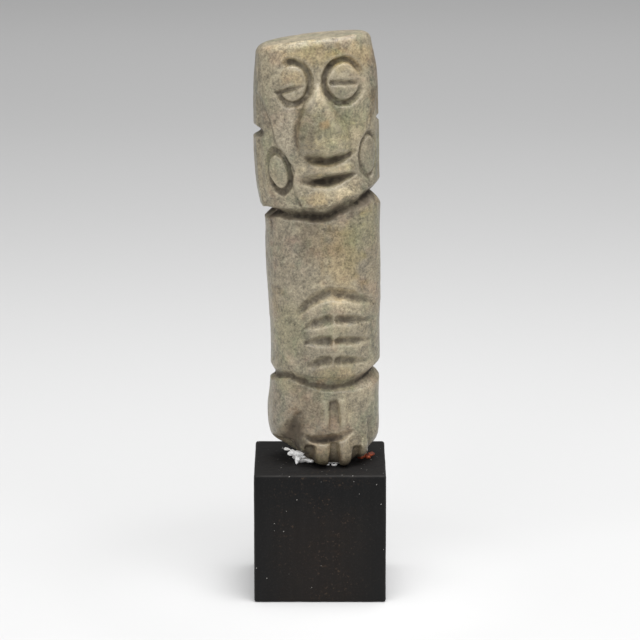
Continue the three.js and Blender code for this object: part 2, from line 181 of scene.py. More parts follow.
spatter = noise(place, SPATTER_SIZE, 4.0, 0.7, (0.3, 0.1, 0.7)).fade(0.50, 0.66)
brown = spatter * centre * (0.25 + 0.75 * patches.fade(0.38, 0.62)) + patches.fade(0.6, 0.85) * 0.2
film = height_up.fade(FILM_FROM, FILM_TO)
haze = centre * (1 - height_up.fade(HAZE_FULL, HAZE_GONE)) * (0.4 + 0.6 * patches)
# The black is a shade lighter low on the sides and darker towards the top and on the top face.
coat = height_up.fade(DARK_FROM, DARK_TO).blend(PAINT_LOW, PAINT_HIGH)
black = (haze * 0.75 + brown * 0.5).blend(coat, PAINT_WORN)
fleck = noise(place, FLECK_SIZE, 2.0, 0.6, (0.6, 0.2, 0.4)).fade(0.60, 0.70)
flecked = (fleck * centre * patches.fade(0.40, 0.60)).blend(black, PAINT_FLECK)
greyed = (speckle.fade(0.52, 0.80) * 0.5 + film * 0.22).blend(flecked, PAINT_GREYED)
worn_edge = rub.fade(0.35, 1.1) * patches.fade(0.30, 0.62) * 0.4
rubbed = worn_edge.blend(greyed, PAINT_RUBBED)
feed(shader, "Base Color", rubbed)
feed(shader, "Roughness", 0.62 + 0.25 * streaks - 0.10 * rub)
feed(shader, "Normal", bump(wire, streaks * 0.6 + speckle * 0.6, 0.00012, 0.55))
shader.inputs["Specular IOR Level"].default_value = 0.2

DUST_DULL, DUST_PALE = (0.42, 0.40, 0.37, 1), (0.62, 0.60, 0.57, 1)
DUST_CLOUD = 0.0012
dust, wire, shader, place = new_finish("pale_dust")
feed(shader, "Base Color", noise(place, DUST_CLOUD).blend(DUST_DULL, DUST_PALE))
shader.inputs["Roughness"].default_value = 0.9

stand_low, stand_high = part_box("stand")
STAND_EDGE = stand_high[2] - stand_low[2]
STAND_EASE = 0.00045
STAND_INSET = 0.00004
STAND_CLEAR = 0.00002
STAND_COUNT = 74
ROWS_CROWDED = 1.7
RUB_GAIN = 2.4
RUB_DEPTH, FINE_DEPTH, BROAD_DEPTH = 0.00022, 0.00004, 0.00010
FINE_SCALE, BROAD_SCALE, NOISE_HIGH = 420.0, 90.0, 0.65
DUST_SIZE = 0.00012
DUST_DENSITY = 330000.0
DUST_SUNK = -0.85
DUST_SMALLEST, DUST_LARGEST = 0.35, 1.25
DUST_SEED, SIZE_SEED = 11, 5

stand_tree = bpy.data.node_groups.new("eased cube with dust", "GeometryNodeTree")
for label in ("Edge", "Ease", "Dust size", "Dust density"):
    stand_tree.interface.new_socket(label, in_out="INPUT", socket_type="NodeSocketFloat")
stand_tree.interface.new_socket("Geometry", in_out="OUTPUT", socket_type="NodeSocketGeometry")
given = stand_tree.nodes.new("NodeGroupInput")
edge, ease, dust_size, dust_density = [Wire(stand_tree, given.outputs[i]) for i in range(4)]
geo = Wire(stand_tree)
side = geo.node("ShaderNodeCombineXYZ", None, {0: edge, 1: edge, 2: edge})
cube = geo.node(
    "GeometryNodeMeshCube",
    None,
    {"Size": side, "Vertices X": STAND_COUNT, "Vertices Y": STAND_COUNT, "Vertices Z": STAND_COUNT},
)
spot = geo.node("GeometryNodeInputPosition")
half = edge * 0.5 - STAND_INSET
inner = half - ease
core, rest = [], []
for axis in range(3):
    value = spot.axis(axis)
    share = value.math("ABSOLUTE", value) / half
    crowded = 1 - value.math("MAXIMUM", 1 - share, 0.0) ** ROWS_CROWDED
    drawn = crowded * half * value.math("SIGN", value)
    kept = value.math("MAXIMUM", value.math("MINIMUM", drawn, inner), 0.0 - inner)
    core.append(kept)
    rest.append(drawn - kept)
outward = geo.node("ShaderNodeCombineXYZ", None, dict(enumerate(rest)))
reach = geo.vector("LENGTH", {0: outward}, out=1)
unit = geo.vector("NORMALIZE", {0: outward})
spans = [value.math("ABSOLUTE", value) for value in rest]
rubbing = ((spans[0] + spans[1] + spans[2]) / reach - 1) * RUB_GAIN
inside = geo.node("ShaderNodeCombineXYZ", None, dict(enumerate(core)))
fine, broad = [
    geo.node("ShaderNodeTexNoise", None, {"Vector": inside, "Scale": scale, "Detail": detail})
    - NOISE_HIGH
    for scale, detail in ((FINE_SCALE, 3.0), (BROAD_SCALE, 1.0))
]
radius = ease + fine * (rubbing * RUB_DEPTH) + fine * FINE_DEPTH + broad * BROAD_DEPTH
swept = geo.vector("SCALE", {0: unit, "Scale": radius})
shaped = geo.vector("ADD", {0: inside, 1: swept})
lift = geo.node("ShaderNodeCombineXYZ", None, {2: half + STAND_CLEAR})
standing = geo.vector("ADD", {0: shaped, 1: lift})
marked = geo.node(
    "GeometryNodeStoreNamedAttribute",
    {"data_type": "FLOAT", "domain": "POINT"},
    {"Geometry": cube, "Name": "rub", "Value": rubbing},
)
eased = geo.node("GeometryNodeSetPosition", None, {"Geometry": marked, "Position": standing})
painted = geo.node("GeometryNodeSetMaterial", None, {"Geometry": eased, "Material": paint})
smooth = geo.node("GeometryNodeSetShadeSmooth", None, {"Geometry": painted, "Shade Smooth": True})
facing = geo.node("GeometryNodeInputNormal").axis(2)
upper = facing.fade(-0.5, 0.9) * dust_density
landed = geo.node(
    "GeometryNodeDistributePointsOnFaces",
    {"distribute_method": "RANDOM"},
    {"Mesh": eased, "Density": upper, "Seed": DUST_SEED},
)
upright = Wire(stand_tree, landed.socket.node.outputs["Normal"])
sunk = geo.vector("SCALE", {0: upright, "Scale": dust_size * DUST_SUNK})
bedded = geo.node("GeometryNodeSetPosition", None, {"Geometry": landed, "Offset": sunk})
mote = geo.node("GeometryNodeMeshIcoSphere", None, {"Radius": dust_size, "Subdivisions": 1})
chance = geo.node(
    "FunctionNodeRandomValue",
    {"data_type": "FLOAT"},
    {2: DUST_SMALLEST, 3: DUST_LARGEST, "Seed": SIZE_SEED},
    out=1,
)
spread = geo.node(
    "GeometryNodeInstanceOnPoints", None, {"Points": bedded, "Instance": mote, "Scale": chance}
)
dusted = geo.node("GeometryNodeSetMaterial", None, {"Geometry": spread, "Material": dust})
together = stand_tree.nodes.new("GeometryNodeJoinGeometry")
for part in (smooth, dusted):
    stand_tree.links.new(part.socket, together.inputs[0])
whole = geo.node("GeometryNodeRealizeInstances", None, {0: Wire(stand_tree, together.outputs[0])})
result = stand_tree.nodes.new("NodeGroupOutput")
stand_tree.links.new(whole.socket, result.inputs[0])


def bake_tree(name, tree, sizes):
    """Plain mesh object from a geometry tree whose named inputs have the given sizes."""
    carrier = bpy.data.objects.new(name + "_carrier", bpy.data.meshes.new(name))
    bpy.context.collection.objects.link(carrier)
    modifier = carrier.modifiers.new(name, "NODES")
    modifier.node_group = tree
    for item in tree.interface.items_tree:
        if item.in_out == "INPUT":
            modifier[item.identifier] = sizes[item.name]
    ready = carrier.evaluated_get(bpy.context.evaluated_depsgraph_get())
    mesh = bpy.data.meshes.new_from_object(ready)
    mesh.name = name
    bpy.data.objects.remove(carrier)
    piece = bpy.data.objects.new(name, mesh)
    bpy.context.collection.objects.link(piece)
    return piece


stand_piece = bake_tree(
    "painted_stand",
    stand_tree,
    {"Edge": STAND_EDGE, "Ease": STAND_EASE, "Dust size": DUST_SIZE, "Dust density": DUST_DENSITY},
)
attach(stand_piece, "root")
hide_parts("stand")

# The figure is one piece of speckled grey-green stone: a flattened column that the carver shaped
# with string saws, a tube drill and grit, then rubbed to a soft polish. Sizes here are millimetres
# from the underside of its feet, x to the viewer's right and y to the back.
MM = 0.001
FIGURE_TURN = math.radians(10)
FIGURE_OFFSET = 0.4
FIGURE_LIFT = STAND_EDGE / MM + 0.5
FIGURE_HEIGHT = 81.7
CROWN_ROUNDING = 1.6
CROWN_SLANT = 0.075
CROWN_DROOP = 0.0065
CROWN_FALL = 0.08
CROWN_MIDDLE = -1.5
CROWN_BACK = 8.0
CROWN_FROM, CROWN_TO = 72, 80
FRONT_SQUARENESS = 2.5
BACK_SQUARENESS = 3.0

# Height, middle of the width, half width, depth before the axis and depth behind it.
SECTIONS = np.array([
    (0.0, 1.5, 4.3, 7.8, 4.5),
    (0.8, 1.2, 6.05, 8.4, 5.8),
    (1.8, 0.95, 7.7, 8.6, 6.6),
    (3.5, 0.6, 9.8, 8.5, 7.3),
    (5.5, 0.45, 10.6, 8.1, 7.6),
    (10.2, 0.3, 10.8, 8.0, 7.7),
    (13.8, 0.5, 10.6, 8.0, 7.7),
    (17.0, 0.6, 10.6, 8.0, 7.7),
    (22.2, 0.65, 10.55, 8.2, 7.7),
    (30.4, 0.5, 10.7, 8.2, 7.8),
    (39.9, 0.2, 11.0, 8.1, 7.8),
    (47.5, 0.1, 11.1, 7.9, 7.8),
    (50.5, -0.3, 11.5, 7.8, 7.8),
    (55.1, -0.75, 11.9, 7.8, 7.9),
    (60.9, -1.0, 12.1, 7.7, 8.0),
    (67.8, -1.1, 12.0, 7.6, 8.0),
    (74.8, -1.2, 11.8, 7.5, 8.0),
    (79.4, -1.6, 11.1, 7.3, 7.8),
    (82.0, -1.65, 10.85, 7.2, 7.6),
])


def smooth_step(value, start, end):
    """0 before start, 1 after end, smooth between."""
    share = np.clip((value - start) / (end - start), 0.0, 1.0)
    return share * share * (3.0 - 2.0 * share)


def section_at(z):
    """Middle, half width, front and back depth of the column at each height."""
    levels, values = SECTIONS[:, 0], SECTIONS[:, 1:]
    slopes = np.empty_like(values)
    slopes[1:-1] = (values[2:] - values[:-2]) / (levels[2:] - levels[:-2])[:, None]
    slopes[0] = (values[1] - values[0]) / (levels[1] - levels[0])
    slopes[-1] = (values[-1] - values[-2]) / (levels[-1] - levels[-2])
    z = np.clip(z, levels[0], levels[-1])
    low = np.clip(np.searchsorted(levels, z) - 1, 0, len(levels) - 2)
    gap = levels[low + 1] - levels[low]
    s = ((z - levels[low]) / gap)[..., None]
    gap = gap[..., None]
    blend = (
        (2 * s**3 - 3 * s**2 + 1) * values[low]
        + (s**3 - 2 * s**2 + s) * gap * slopes[low]
        + (3 * s**2 - 2 * s**3) * values[low + 1]
        + (s**3 - s**2) * gap * slopes[low + 1]
    )
    return np.moveaxis(blend, -1, 0)


def crown_lift(x, y, z):
    """Rise of the slanting crown, which droops at its lower end and falls to the back."""
    side = x - CROWN_MIDDLE
    droop = CROWN_DROOP * np.minimum(side, 0) ** 2
    rise = CROWN_SLANT * side - droop + CROWN_FALL * (CROWN_BACK - y)
    return rise * smooth_step(z, CROWN_FROM, CROWN_TO)


def column_point(angle, z, inset=0.0, share=1.0):
    """Points of the plain column at angles counted from the front to the right."""
    middle, half, front, back = section_at(z)
    to_front = np.cos(angle) > 0
    power = 2.0 / np.where(to_front, FRONT_SQUARENESS, BACK_SQUARENESS)
    x = middle + share * (half - inset) * np.sign(np.sin(angle)) * np.abs(np.sin(angle)) ** power
    depth = np.where(to_front, -(front - inset), back - inset)
    y = share * depth * np.abs(np.cos(angle)) ** power
    return np.stack([x, y, z + crown_lift(x, y, z)], axis=-1)


def front_point(x, z):
    """Place on the plain front and the direction out of it."""
    def place(x, z):
        middle, half, front, _ = section_at(np.array([z], float))
        share = np.minimum(np.abs(x - middle) / half, 0.995)
        y = -front * (1 - share**FRONT_SQUARENESS) ** (1 / FRONT_SQUARENESS)
        return np.array([x, y[0], z + crown_lift(np.array([x]), y, np.array([z]))[0]])

    step = 0.05
    out = np.cross(place(x + step, z) - place(x - step, z), place(x, z + step) - place(x, z - step))
    return place(x, z), out / np.linalg.norm(out)


# Columns of the mesh stand close together on the carved front and further apart on the back, and
# its rows are closest on the head, the hands and the feet.
FRONT_COLUMNS, BACK_COLUMNS = 168, 66
FRONT_REACH = 0.56 * np.pi
RING_COUNT, RING_LEVEL = 4001, 60.0
ROW_BANDS = [(0.0, 19.0, 92), (19.0, 35.5, 76), (35.5, 47.0, 30)]
HEAD_FROM, HEAD_ROWS = 47.0, 168
reference = np.linspace(-np.pi, np.pi, RING_COUNT)
ring = column_point(reference, np.full(RING_COUNT, RING_LEVEL))
arc = np.concatenate([[0], np.cumsum(np.linalg.norm(np.diff(ring, axis=0), axis=1))])
front_from, front_to = np.interp([-FRONT_REACH, FRONT_REACH], reference, arc)
wanted = np.concatenate([
    np.linspace(front_from, front_to, FRONT_COLUMNS, endpoint=False),
    np.linspace(front_to, front_from + arc[-1], BACK_COLUMNS, endpoint=False),
])
angles = np.interp(wanted % arc[-1], arc, reference)
heights = np.concatenate(
    [np.linspace(low, high, count, endpoint=False) for low, high, count in ROW_BANDS]
    + [np.linspace(HEAD_FROM, FIGURE_HEIGHT - CROWN_ROUNDING, HEAD_ROWS)]
)
rows = [(0.0, 0.0, share) for share in np.linspace(0.08, 0.92, 9)]
rows += [(z, 0.0, 1.0) for z in heights]
turns = np.linspace(0, np.pi / 2, 11)[1:]
rows += [
    (FIGURE_HEIGHT - CROWN_ROUNDING * (1 - math.sin(t)), CROWN_ROUNDING * (1 - math.cos(t)), 1.0)
    for t in turns
]
rows += [(FIGURE_HEIGHT, CROWN_ROUNDING, share) for share in np.linspace(0.96, 0.06, 18)]
z_row, inset_row, share_row = (np.array(column)[:, None] for column in zip(*rows))
angle_grid = np.broadcast_to(angles[None, :], (len(rows), len(angles)))
blank = column_point(
    angle_grid,
    np.broadcast_to(z_row, angle_grid.shape),
    np.broadcast_to(inset_row, angle_grid.shape),
    np.broadcast_to(share_row, angle_grid.shape),
)


def outward_normals(points):
    """Unit normals of a grid of points that closes on itself along each row."""
    across = np.roll(points, -1, axis=1) - np.roll(points, 1, axis=1)
    up = np.gradient(points, axis=0)
    normal = np.cross(across, up)
    return normal / np.maximum(np.linalg.norm(normal, axis=-1, keepdims=True), 1e-9)


normals = outward_normals(blank)


def blotch(points, size, seed):
    """Smooth random pattern between -1 and 1 with blotches of the given size."""
    table = np.random.default_rng(seed).random((24, 24, 24)) * 2 - 1
    spot = points / size
    cell = np.floor(spot).astype(int)
    s = spot - cell
    s = s * s * (3 - 2 * s)
    total = 0
    for corner in np.ndindex(2, 2, 2):
        weight = np.prod(np.where(np.array(corner) == 1, s, 1 - s), axis=-1)
        index = (cell + np.array(corner)) % 24
        total = total + weight * table[index[..., 0], index[..., 1], index[..., 2]]
    return total


# The carver's hand wavers, so every cut is laid out on slightly shifted places.
WAVER = 0.13
WAVER_SEEDS = (21, 22, 23)
waver = [blotch(blank, 1.6, seed) + 0.5 * blotch(blank, 0.7, seed + 10) for seed in WAVER_SEEDS]
laid_out = blank + WAVER * np.stack(waver, axis=-1)
X, _, Z = np.moveaxis(laid_out, -1, 0)
on_front = smooth_step(-normals[..., 1], 0.02, 0.25)


def dome(share, power=1.4):
    """Rounded profile: 1 in the middle, 0 at the rim."""
    return np.clip(1 - share * share, 0, 1) ** power


def follow(line):
    """Share along a line on the front, and distance off it, positive on its upper or left side."""
    line = np.array(line, float)
    t = np.linspace(0, 1, 25)[:, None]
    if len(line) == 2:
        path = line[0] + (line[1] - line[0]) * t
    else:
        pull = 2 * line[1] - 0.5 * (line[0] + line[2])
        path = (1 - t) ** 2 * line[0] + 2 * t * (1 - t) * pull + t**2 * line[2]
    lengths = np.concatenate([[0], np.cumsum(np.linalg.norm(np.diff(path, axis=0), axis=1))])
    best = np.full(X.shape, 1e9)
    along, off = np.zeros(X.shape), np.zeros(X.shape)
    for k in range(len(path) - 1):
        step = path[k + 1] - path[k]
        length = np.linalg.norm(step)
        dx, dz = X - path[k, 0], Z - path[k, 1]
        s = np.clip((dx * step[0] + dz * step[1]) / length**2, 0, 1)
        gap = np.hypot(dx - s * step[0], dz - s * step[1])
        closer = gap < best
        best = np.where(closer, gap, best)
        along = np.where(closer, (lengths[k] + s * length) / lengths[-1], along)
        side = np.sign(step[0] * dz - step[1] * dx)
        off = np.where(closer, gap * np.where(side == 0, 1, side), off)
    return along, off


def saw_cut(line, depth, above, below, leads=(0.5, 0.5), profile=(1.5, 1.1), reached=on_front):
    """Depth of a groove that opens and runs out over the given shares of its length."""
    along, off = follow(line)
    opening = np.clip(along / leads[0], 0, 1) * np.clip((1 - along) / leads[1], 0, 1)
    opening = np.sin(0.5 * np.pi * opening)
    reach = np.where(off > 0, above, below) * np.maximum(opening**0.5, 0.02)
    shape = np.where(off > 0, dome(off / reach, profile[0]), dome(off / reach, profile[1]))
    return depth * opening**0.7 * shape * reached


def tube_drill(x, z, left, right, up, wall, depth, lost_side, lost_span, lost_depth, lean=0.0):
    """Depth of a drilled ring, and the share of its radius; the drill skims over its lost side."""
    centre, out = front_point(x, z)
    aside = np.cross((0, 0, 1), out)
    aside /= np.linalg.norm(aside)
    rise = np.cross(out, aside)
    offset = laid_out - centre
    v = offset @ rise
    u = offset @ aside + lean * v
    across = np.where(u < 0, left, right)
    radius = np.hypot(u / across, v / up)
    turn = np.degrees(np.arctan2(v / up, u / across))
    away = np.abs((turn - lost_side + 180) % 360 - 180)
    bite = lost_depth + (1 - lost_depth) * smooth_step(away, lost_span - 25, lost_span + 25)
    off = (radius - 1) * 0.5 * (across + up)
    facing = smooth_step(normals @ out, 0.15, 0.45)
    bite = bite * (0.95 + 0.2 * blotch(blank, 1.4, 71))
    groove = depth * bite * (0.5 + 0.5 * np.cos(np.pi * np.minimum(np.abs(off) / wall, 1) ** 1.5))
    return groove * facing, np.where(facing > 0.5, radius, 9.0)


def all_round(values):
    """Size given at eight points from the front to the right and on round, at every point."""
    values = np.array(values, float)
    place = (angle_grid / (2 * np.pi) % 1.0) * 8
    k = np.floor(place).astype(int) % 8
    s = place - np.floor(place)
    before, low, high, after = (values[(k + step) % 8] for step in (-1, 0, 1, 2))
    return 0.5 * (
        2 * low
        + (high - before) * s
        + (2 * before - 5 * low + 4 * high - after) * s**2
        + (3 * low - 3 * high + after - before) * s**3
    )


def girdle_cut(off, depth, above, below, profile):
    """Depth of a groove sawn right round, from the distance off its middle."""
    return depth * np.where(off > 0, dome(off / above, profile[0]), dome(off / below, profile[1]))


# Grooves of the neck and the waist, each size given at eight points round the column: height of the
# middle, reach above and below it, and depth. The neck's rises at the right of the chin and drops a
# little under the left ear: place, reach and rise.
NECK_HEIGHT = [48.65, 52.5, 52.5, 51.9, 50.6, 49.3, 48.35, 48.8]
NECK_ABOVE = [2.4, 1.7, 2.7, 2.2, 1.8, 1.6, 1.5, 2.2]
NECK_BELOW = [1.3, 2.2, 3.4, 2.8, 2.2, 2.1, 1.0, 0.5]
NECK_DEPTH = [2.2, 1.8, 2.3, 2.0, 2.0, 2.6, 2.6, 2.3]
NECK_SLOPE_ABOVE = [0.75, 1.1, 1.2, 1.2, 1.2, 0.8, 0.7, 0.75]
NECK_SLOPE_BELOW = 1.7
NECK_RISES = [(2.9, 3.2, 0.8), (-8.2, 2.2, -0.35)]
WAIST_HEIGHT = [15.25, 16.9, 18.2, 17.5, 17.0, 16.6, 16.75, 17.2]
WAIST_ABOVE = [2.8, 2.4, 2.2, 2.4, 2.6, 2.4, 2.4, 2.2]
WAIST_BELOW = [0.9, 2.2, 2.2, 1.4, 1.0, 1.1, 1.1, 0.6]
WAIST_DEPTH = [1.4, 1.7, 1.7, 1.3, 1.1, 1.1, 1.1, 1.2]
WAIST_PROFILE = (2.4, 1.6)
off_neck = Z - all_round(NECK_HEIGHT)
for x, across, rise in NECK_RISES:
    off_neck = off_neck - rise * dome((X - x) / across) * on_front
neck_above, neck_below = all_round(NECK_ABOVE), all_round(NECK_BELOW)
shoulder = np.clip(1 - np.where(off_neck > 0, off_neck / neck_above, -off_neck / neck_below), 0, 1)
neck_slope = np.where(off_neck > 0, all_round(NECK_SLOPE_ABOVE), NECK_SLOPE_BELOW)
neck = all_round(NECK_DEPTH) * shoulder**neck_slope
off_waist = Z - all_round(WAIST_HEIGHT)
waist = girdle_cut(
    off_waist, all_round(WAIST_DEPTH), all_round(WAIST_ABOVE), all_round(WAIST_BELOW), WAIST_PROFILE
)
cuts = [neck, waist]

# Drilled eyes, each with its eyelid slit. A drilled ring has its place, its reach to the left, to
# the right and up, its wall and depth, and the side, span and share of depth where the drill
# skimmed. A sawn line has its course, depth, reach above and below, leads and profile.
EYE_LEFT = (-7.2, 74.3, 2.9, 3.6, 4.1, 0.92, 1.2, 163, 42, 0.1)
EYE_RIGHT = (3.0, 74.25, 3.8, 3.7, 4.15, 0.92, 1.2, 0, 26, 0.35)
EYELIDS = [
    ([(-10.1, 72.2), (-7.4, 73.3), (-4.5, 74.0)], 0.95, 0.85, 0.8, (0.02, 0.6), (1.2, 1.1)),
    ([(0.0, 74.4), (3.1, 74.3), (6.1, 74.0)], 0.85, 0.78, 0.7, (0.1, 0.15), (1.2, 1.1)),
]
ring_left, disc_left = tube_drill(*EYE_LEFT)
ring_right, disc_right = tube_drill(*EYE_RIGHT)
cuts += [ring_left, ring_right]
cuts += [saw_cut(*row) for row in EYELIDS]

# Drilled ear spools on the flaps beside the face; the left one leans.
SPOOL_LEFT = (-9.8, 57.3, 2.5, 2.5, 3.95, 1.1, 1.6, 188, 32, 0.7, 0.18)
SPOOL_RIGHT = (8.5, 60.1, 2.4, 2.4, 4.05, 0.8, 1.15, 0, 30, 0.7)
spool_left, spool_left_disc = tube_drill(*SPOOL_LEFT)
spool_right, spool_right_disc = tube_drill(*SPOOL_RIGHT)
cuts += [spool_left, spool_right]

# Nostril groove and the two strokes of the mouth, cut steep below and undercut from above.
MOUTH = [
    ([(-5.0, 60.7), (-0.1, 59.15), (5.6, 61.4)], 1.4, 1.9, 0.8, (0.28, 0.45), (2.0, 1.0)),
    ([(-5.6, 55.9), (-2.4, 55.2), (2.4, 55.8)], 1.3, 2.3, 0.95, (0.35, 0.5), (1.4, 1.0)),
    ([(-5.2, 55.7), (-0.9, 55.2), (5.7, 56.9)], 2.1, 2.05, 0.95, (0.38, 0.52), (2.2, 1.0)),
]
cuts += [saw_cut(*row) for row in MOUTH]

# Folded hands: the line of the wrists above and three pairs of finger grooves.
WRISTS = [
    ([(-6.8, 29.0), (-2.6, 32.6), (1.6, 33.7)], 1.45, 2.3, 1.15, (0.85, 0.15), (2.0, 1.2)),
    ([(-0.3, 33.7), (4.2, 33.0), (9.6, 31.2)], 1.35, 2.1, 1.15, (0.15, 0.7), (2.0, 1.2)),
]
FINGERS = [
    ([(-5.2, 27.0), (-2.1, 28.4), (0.9, 29.1)], [(0.6, 28.9), (4.2, 28.7), (9.0, 28.0)]),
    ([(-5.0, 24.3), (-1.8, 24.8), (0.9, 25.0)], [(0.6, 24.8), (4.1, 24.6), (8.8, 24.3)]),
    ([(-4.6, 19.4), (-1.8, 20.6), (0.7, 21.2)], [(0.65, 21.0), (4.1, 20.6), (8.4, 20.2)]),
]
cuts += [saw_cut(*row) for row in WRISTS]
for left, right in FINGERS:
    cuts.append(saw_cut(left, 1.1, 1.35, 1.3, (0.65, 0.15), (1.6, 1.3)))
    cuts.append(saw_cut(right, 1.08, 1.25, 1.2, (0.13, 0.7), (1.6, 1.3)))

# Legs: the slot between the shins, the fold over the feet, the hollows inside the haunches, and the
# toe slots, each with its middle, top, half width and depth.
SHIN_SLOT_X = 1.0
ANKLE_FOLD = [(-5.8, 6.2), (-0.2, 5.0), (5.4, 6.9)]
HAUNCH_LEFT = [(-4.6, 11.2), (-7.0, 7.2), (-9.0, -2.0)]
HAUNCH_RIGHT = [(8.0, 9.5), (8.5, 5.8), (8.4, 1.5)]
TOE_SLOTS = [
    (-3.75, 4.3, 1.35, 1.4), (1.0, 4.9, 1.15, 1.7), (5.4, 3.7, 1.1, 1.3), (-5.4, 2.7, 2.4, 2.4)
]
slot_half = 0.75 + 0.5 * np.clip((12.8 - Z) / 4.0, 0, 1)
slot_ends = smooth_step(Z, 6.4, 8.6) * (1 - smooth_step(Z, 12.4, 13.2))
slot_floor = 0.55 + 0.35 * np.clip((Z - 8.0) / 4.5, 0, 1)
slot_walls = 1 - smooth_step(np.abs(X - SHIN_SLOT_X) / slot_half, 0.72, 1.1)
cuts.append(slot_floor * slot_walls * slot_ends * on_front)
cuts.append(saw_cut(ANKLE_FOLD, 1.15, 1.8, 0.75, (0.6, 0.45), (2.4, 1.2)))
before = smooth_step(-blank[..., 1], -3.0, 2.0)
cuts.append(saw_cut(HAUNCH_LEFT, 2.2, 4.2, 3.4, (0.9, 0.05), (1.8, 2.2), before))
cuts.append(saw_cut(HAUNCH_RIGHT, 1.1, 2.6, 0.9, (0.6, 0.4), (2.0, 1.4)))
toe_slots = np.zeros(X.shape)
for x, top, half_width, deep in TOE_SLOTS:
    open_down = 1 - smooth_step(Z, top - 0.9, top + 0.2)
    spread = half_width * (1.08 - 0.06 * Z)
    slot = deep * (1 - smooth_step(np.abs(X - x) / spread, 0.55, 1.08)) * open_down
    toe_slots = np.maximum(toe_slots, slot * smooth_step(-blank[..., 1], 2.5, 6.5))

# Nicks at the rims of the ears: place of the rim, height, half height, depth and reach inwards.
EAR_NICKS = [(-13.1, 64.3, 1.2, 1.5, 1.15), (11.0, 66.6, 0.65, 0.7, 1.2)]
for rim, level, tall, deep, reach in EAR_NICKS:
    inner_rim = abs(rim) - 0.5 * np.clip(blank[..., 1], 0, 6)
    near = smooth_step(np.sign(rim) * X, inner_rim - reach, inner_rim - 0.2)
    cuts.append(deep * near * dome((Z - level) / tall, 1.0))

# The face stands proud of the ear flaps along a line that follows the cheek and the jaw.
CHEEK_LEFT = [(49.0, -4.2), (50.9, -5.1), (52.8, -6.0), (55.3, -6.8), (57.8, -6.3), (59.7, -7.6),
              (61.0, -8.4), (63.1, -9.8), (65.7, -10.5), (68.4, -11.3), (70.7, -12.1),
              (74.0, -13.6)]
CHEEK_RIGHT = [(52.0, 9.4), (55.0, 7.4), (57.0, 6.2), (60.0, 5.7), (63.5, 6.6), (65.9, 8.4),
               (69.6, 9.2), (72.0, 10.2), (74.0, 12.5)]
EAR_STEP, RIGHT_SHARE = 0.65, 0.8


def at_level(table):
    """Value of a table of heights and sizes at every point of the surface."""
    level, size = np.array(table).T
    return np.interp(Z, level, size)


cheek_off = at_level(CHEEK_LEFT) - X
left_flap = smooth_step(cheek_off, -0.15, 0.35) * smooth_step(Z, 48.5, 51)
right_flap = smooth_step(X - at_level(CHEEK_RIGHT), -0.15, 0.35) * smooth_step(Z, 51.5, 53)
flaps = left_flap + RIGHT_SHARE * right_flap
step_down = EAR_STEP * flaps * on_front * (1 - smooth_step(Z, 70, 74))

# Raised forms: the wedge of the nose, the eyelids and spools, the lips and chin.
NOSE_LEFT = [(60.6, -5.3), (61.5, -5.7), (63.6, -6.3), (67.4, -5.9), (70.0, -4.9), (72.7, -3.3),
             (74.3, -2.4)]
NOSE_RIGHT = [(60.6, 3.9), (61.3, 4.1), (63.2, 4.3), (66.4, 3.3), (69.5, 1.1), (72.6, -1.2),
              (74.3, -1.8)]
NOSE_RIDGE = [(60.6, -0.9), (70.4, -1.7), (73.0, -2.1), (74.3, -2.1)]
NOSE_HEIGHT = [(59.9, 0.0), (60.8, 1.0), (61.7, 1.9), (63.0, 2.4), (66.0, 2.4), (70.0, 1.5),
               (73.0, 0.9), (74.6, 0.0)]
ridge_x = at_level(NOSE_RIDGE)
flank = np.where(X < ridge_x, ridge_x - at_level(NOSE_LEFT), at_level(NOSE_RIGHT) - ridge_x)
toward = (X - ridge_x) / flank
flat_front = 1 - smooth_step(np.abs(toward), 0.40, 1.06)
crisp = np.where(X < ridge_x, 1.0, 0.35)
wedge = flat_front * (1 - crisp) + dome(toward, 0.55) * crisp
raised = at_level(NOSE_HEIGHT) * wedge * on_front
beside_nose = smooth_step(Z, 61, 63) * (1 - smooth_step(Z, 68, 72))
cuts.append(0.25 * dome((X - at_level(NOSE_LEFT) + 0.1) / 0.8) * beside_nose)
eyes, spools = (disc_left, disc_right), (spool_left_disc, spool_right_disc)
for disc, height in zip(eyes + spools, (0.45, 0.35, 0.2, 0.2)):
    raised = raised + height * dome(np.minimum(disc / 0.85, 1), 0.9)


def swelling(x, z, across, up, height, power=1.6):
    """Low rounded swelling of the front."""
    return height * dome(np.hypot((X - x) / across, (Z - z) / up), power) * on_front


# Upper lip, chin, belly, wrists, the four fingers between the grooves and the three toes.
LIP, CHIN = (0.3, 57.9, 6.0, 1.5, 0.55, 1.2), (1.4, 51.6, 6.5, 3.6, 1.05, 1.2)
BELLY, WRIST = (1.2, 26.0, 8.5, 11.0, 0.6, 2.0), (0.9, 32.6, 4.5, 2.4, 0.4)
FINGER_LEVELS = (30.8, 26.9, 22.9, 18.7)
TOES = ((-1.35, 1.5), (3.2, 1.4), (7.2, 1.0))
SHIN_RIDGES = (-0.75, 2.75)
FOOT_RIDGE = [(6.2, 8.0), (7.5, 2.6)]
for form in (LIP, CHIN, BELLY, WRIST):
    raised = raised + swelling(*form)
between_hands = smooth_step(Z, 17, 20) * (1 - smooth_step(Z, 31, 33)) * on_front
raised = raised + 0.22 * dome((X - 0.8) / 1.4) * between_hands
for x, across in TOES:
    raised = raised + swelling(x, 1.8, across, 3.6, 0.4, 1.0)
for z in FINGER_LEVELS:
    raised = raised + swelling(1.0, z, 6.5, 1.7, 0.22)
for x in SHIN_RIDGES:
    raised = raised + 0.4 * dome((X - x) / 0.9) * slot_ends * on_front
raised = raised + saw_cut(FOOT_RIDGE, 0.12, 0.9, 0.9, (0.5, 0.4))

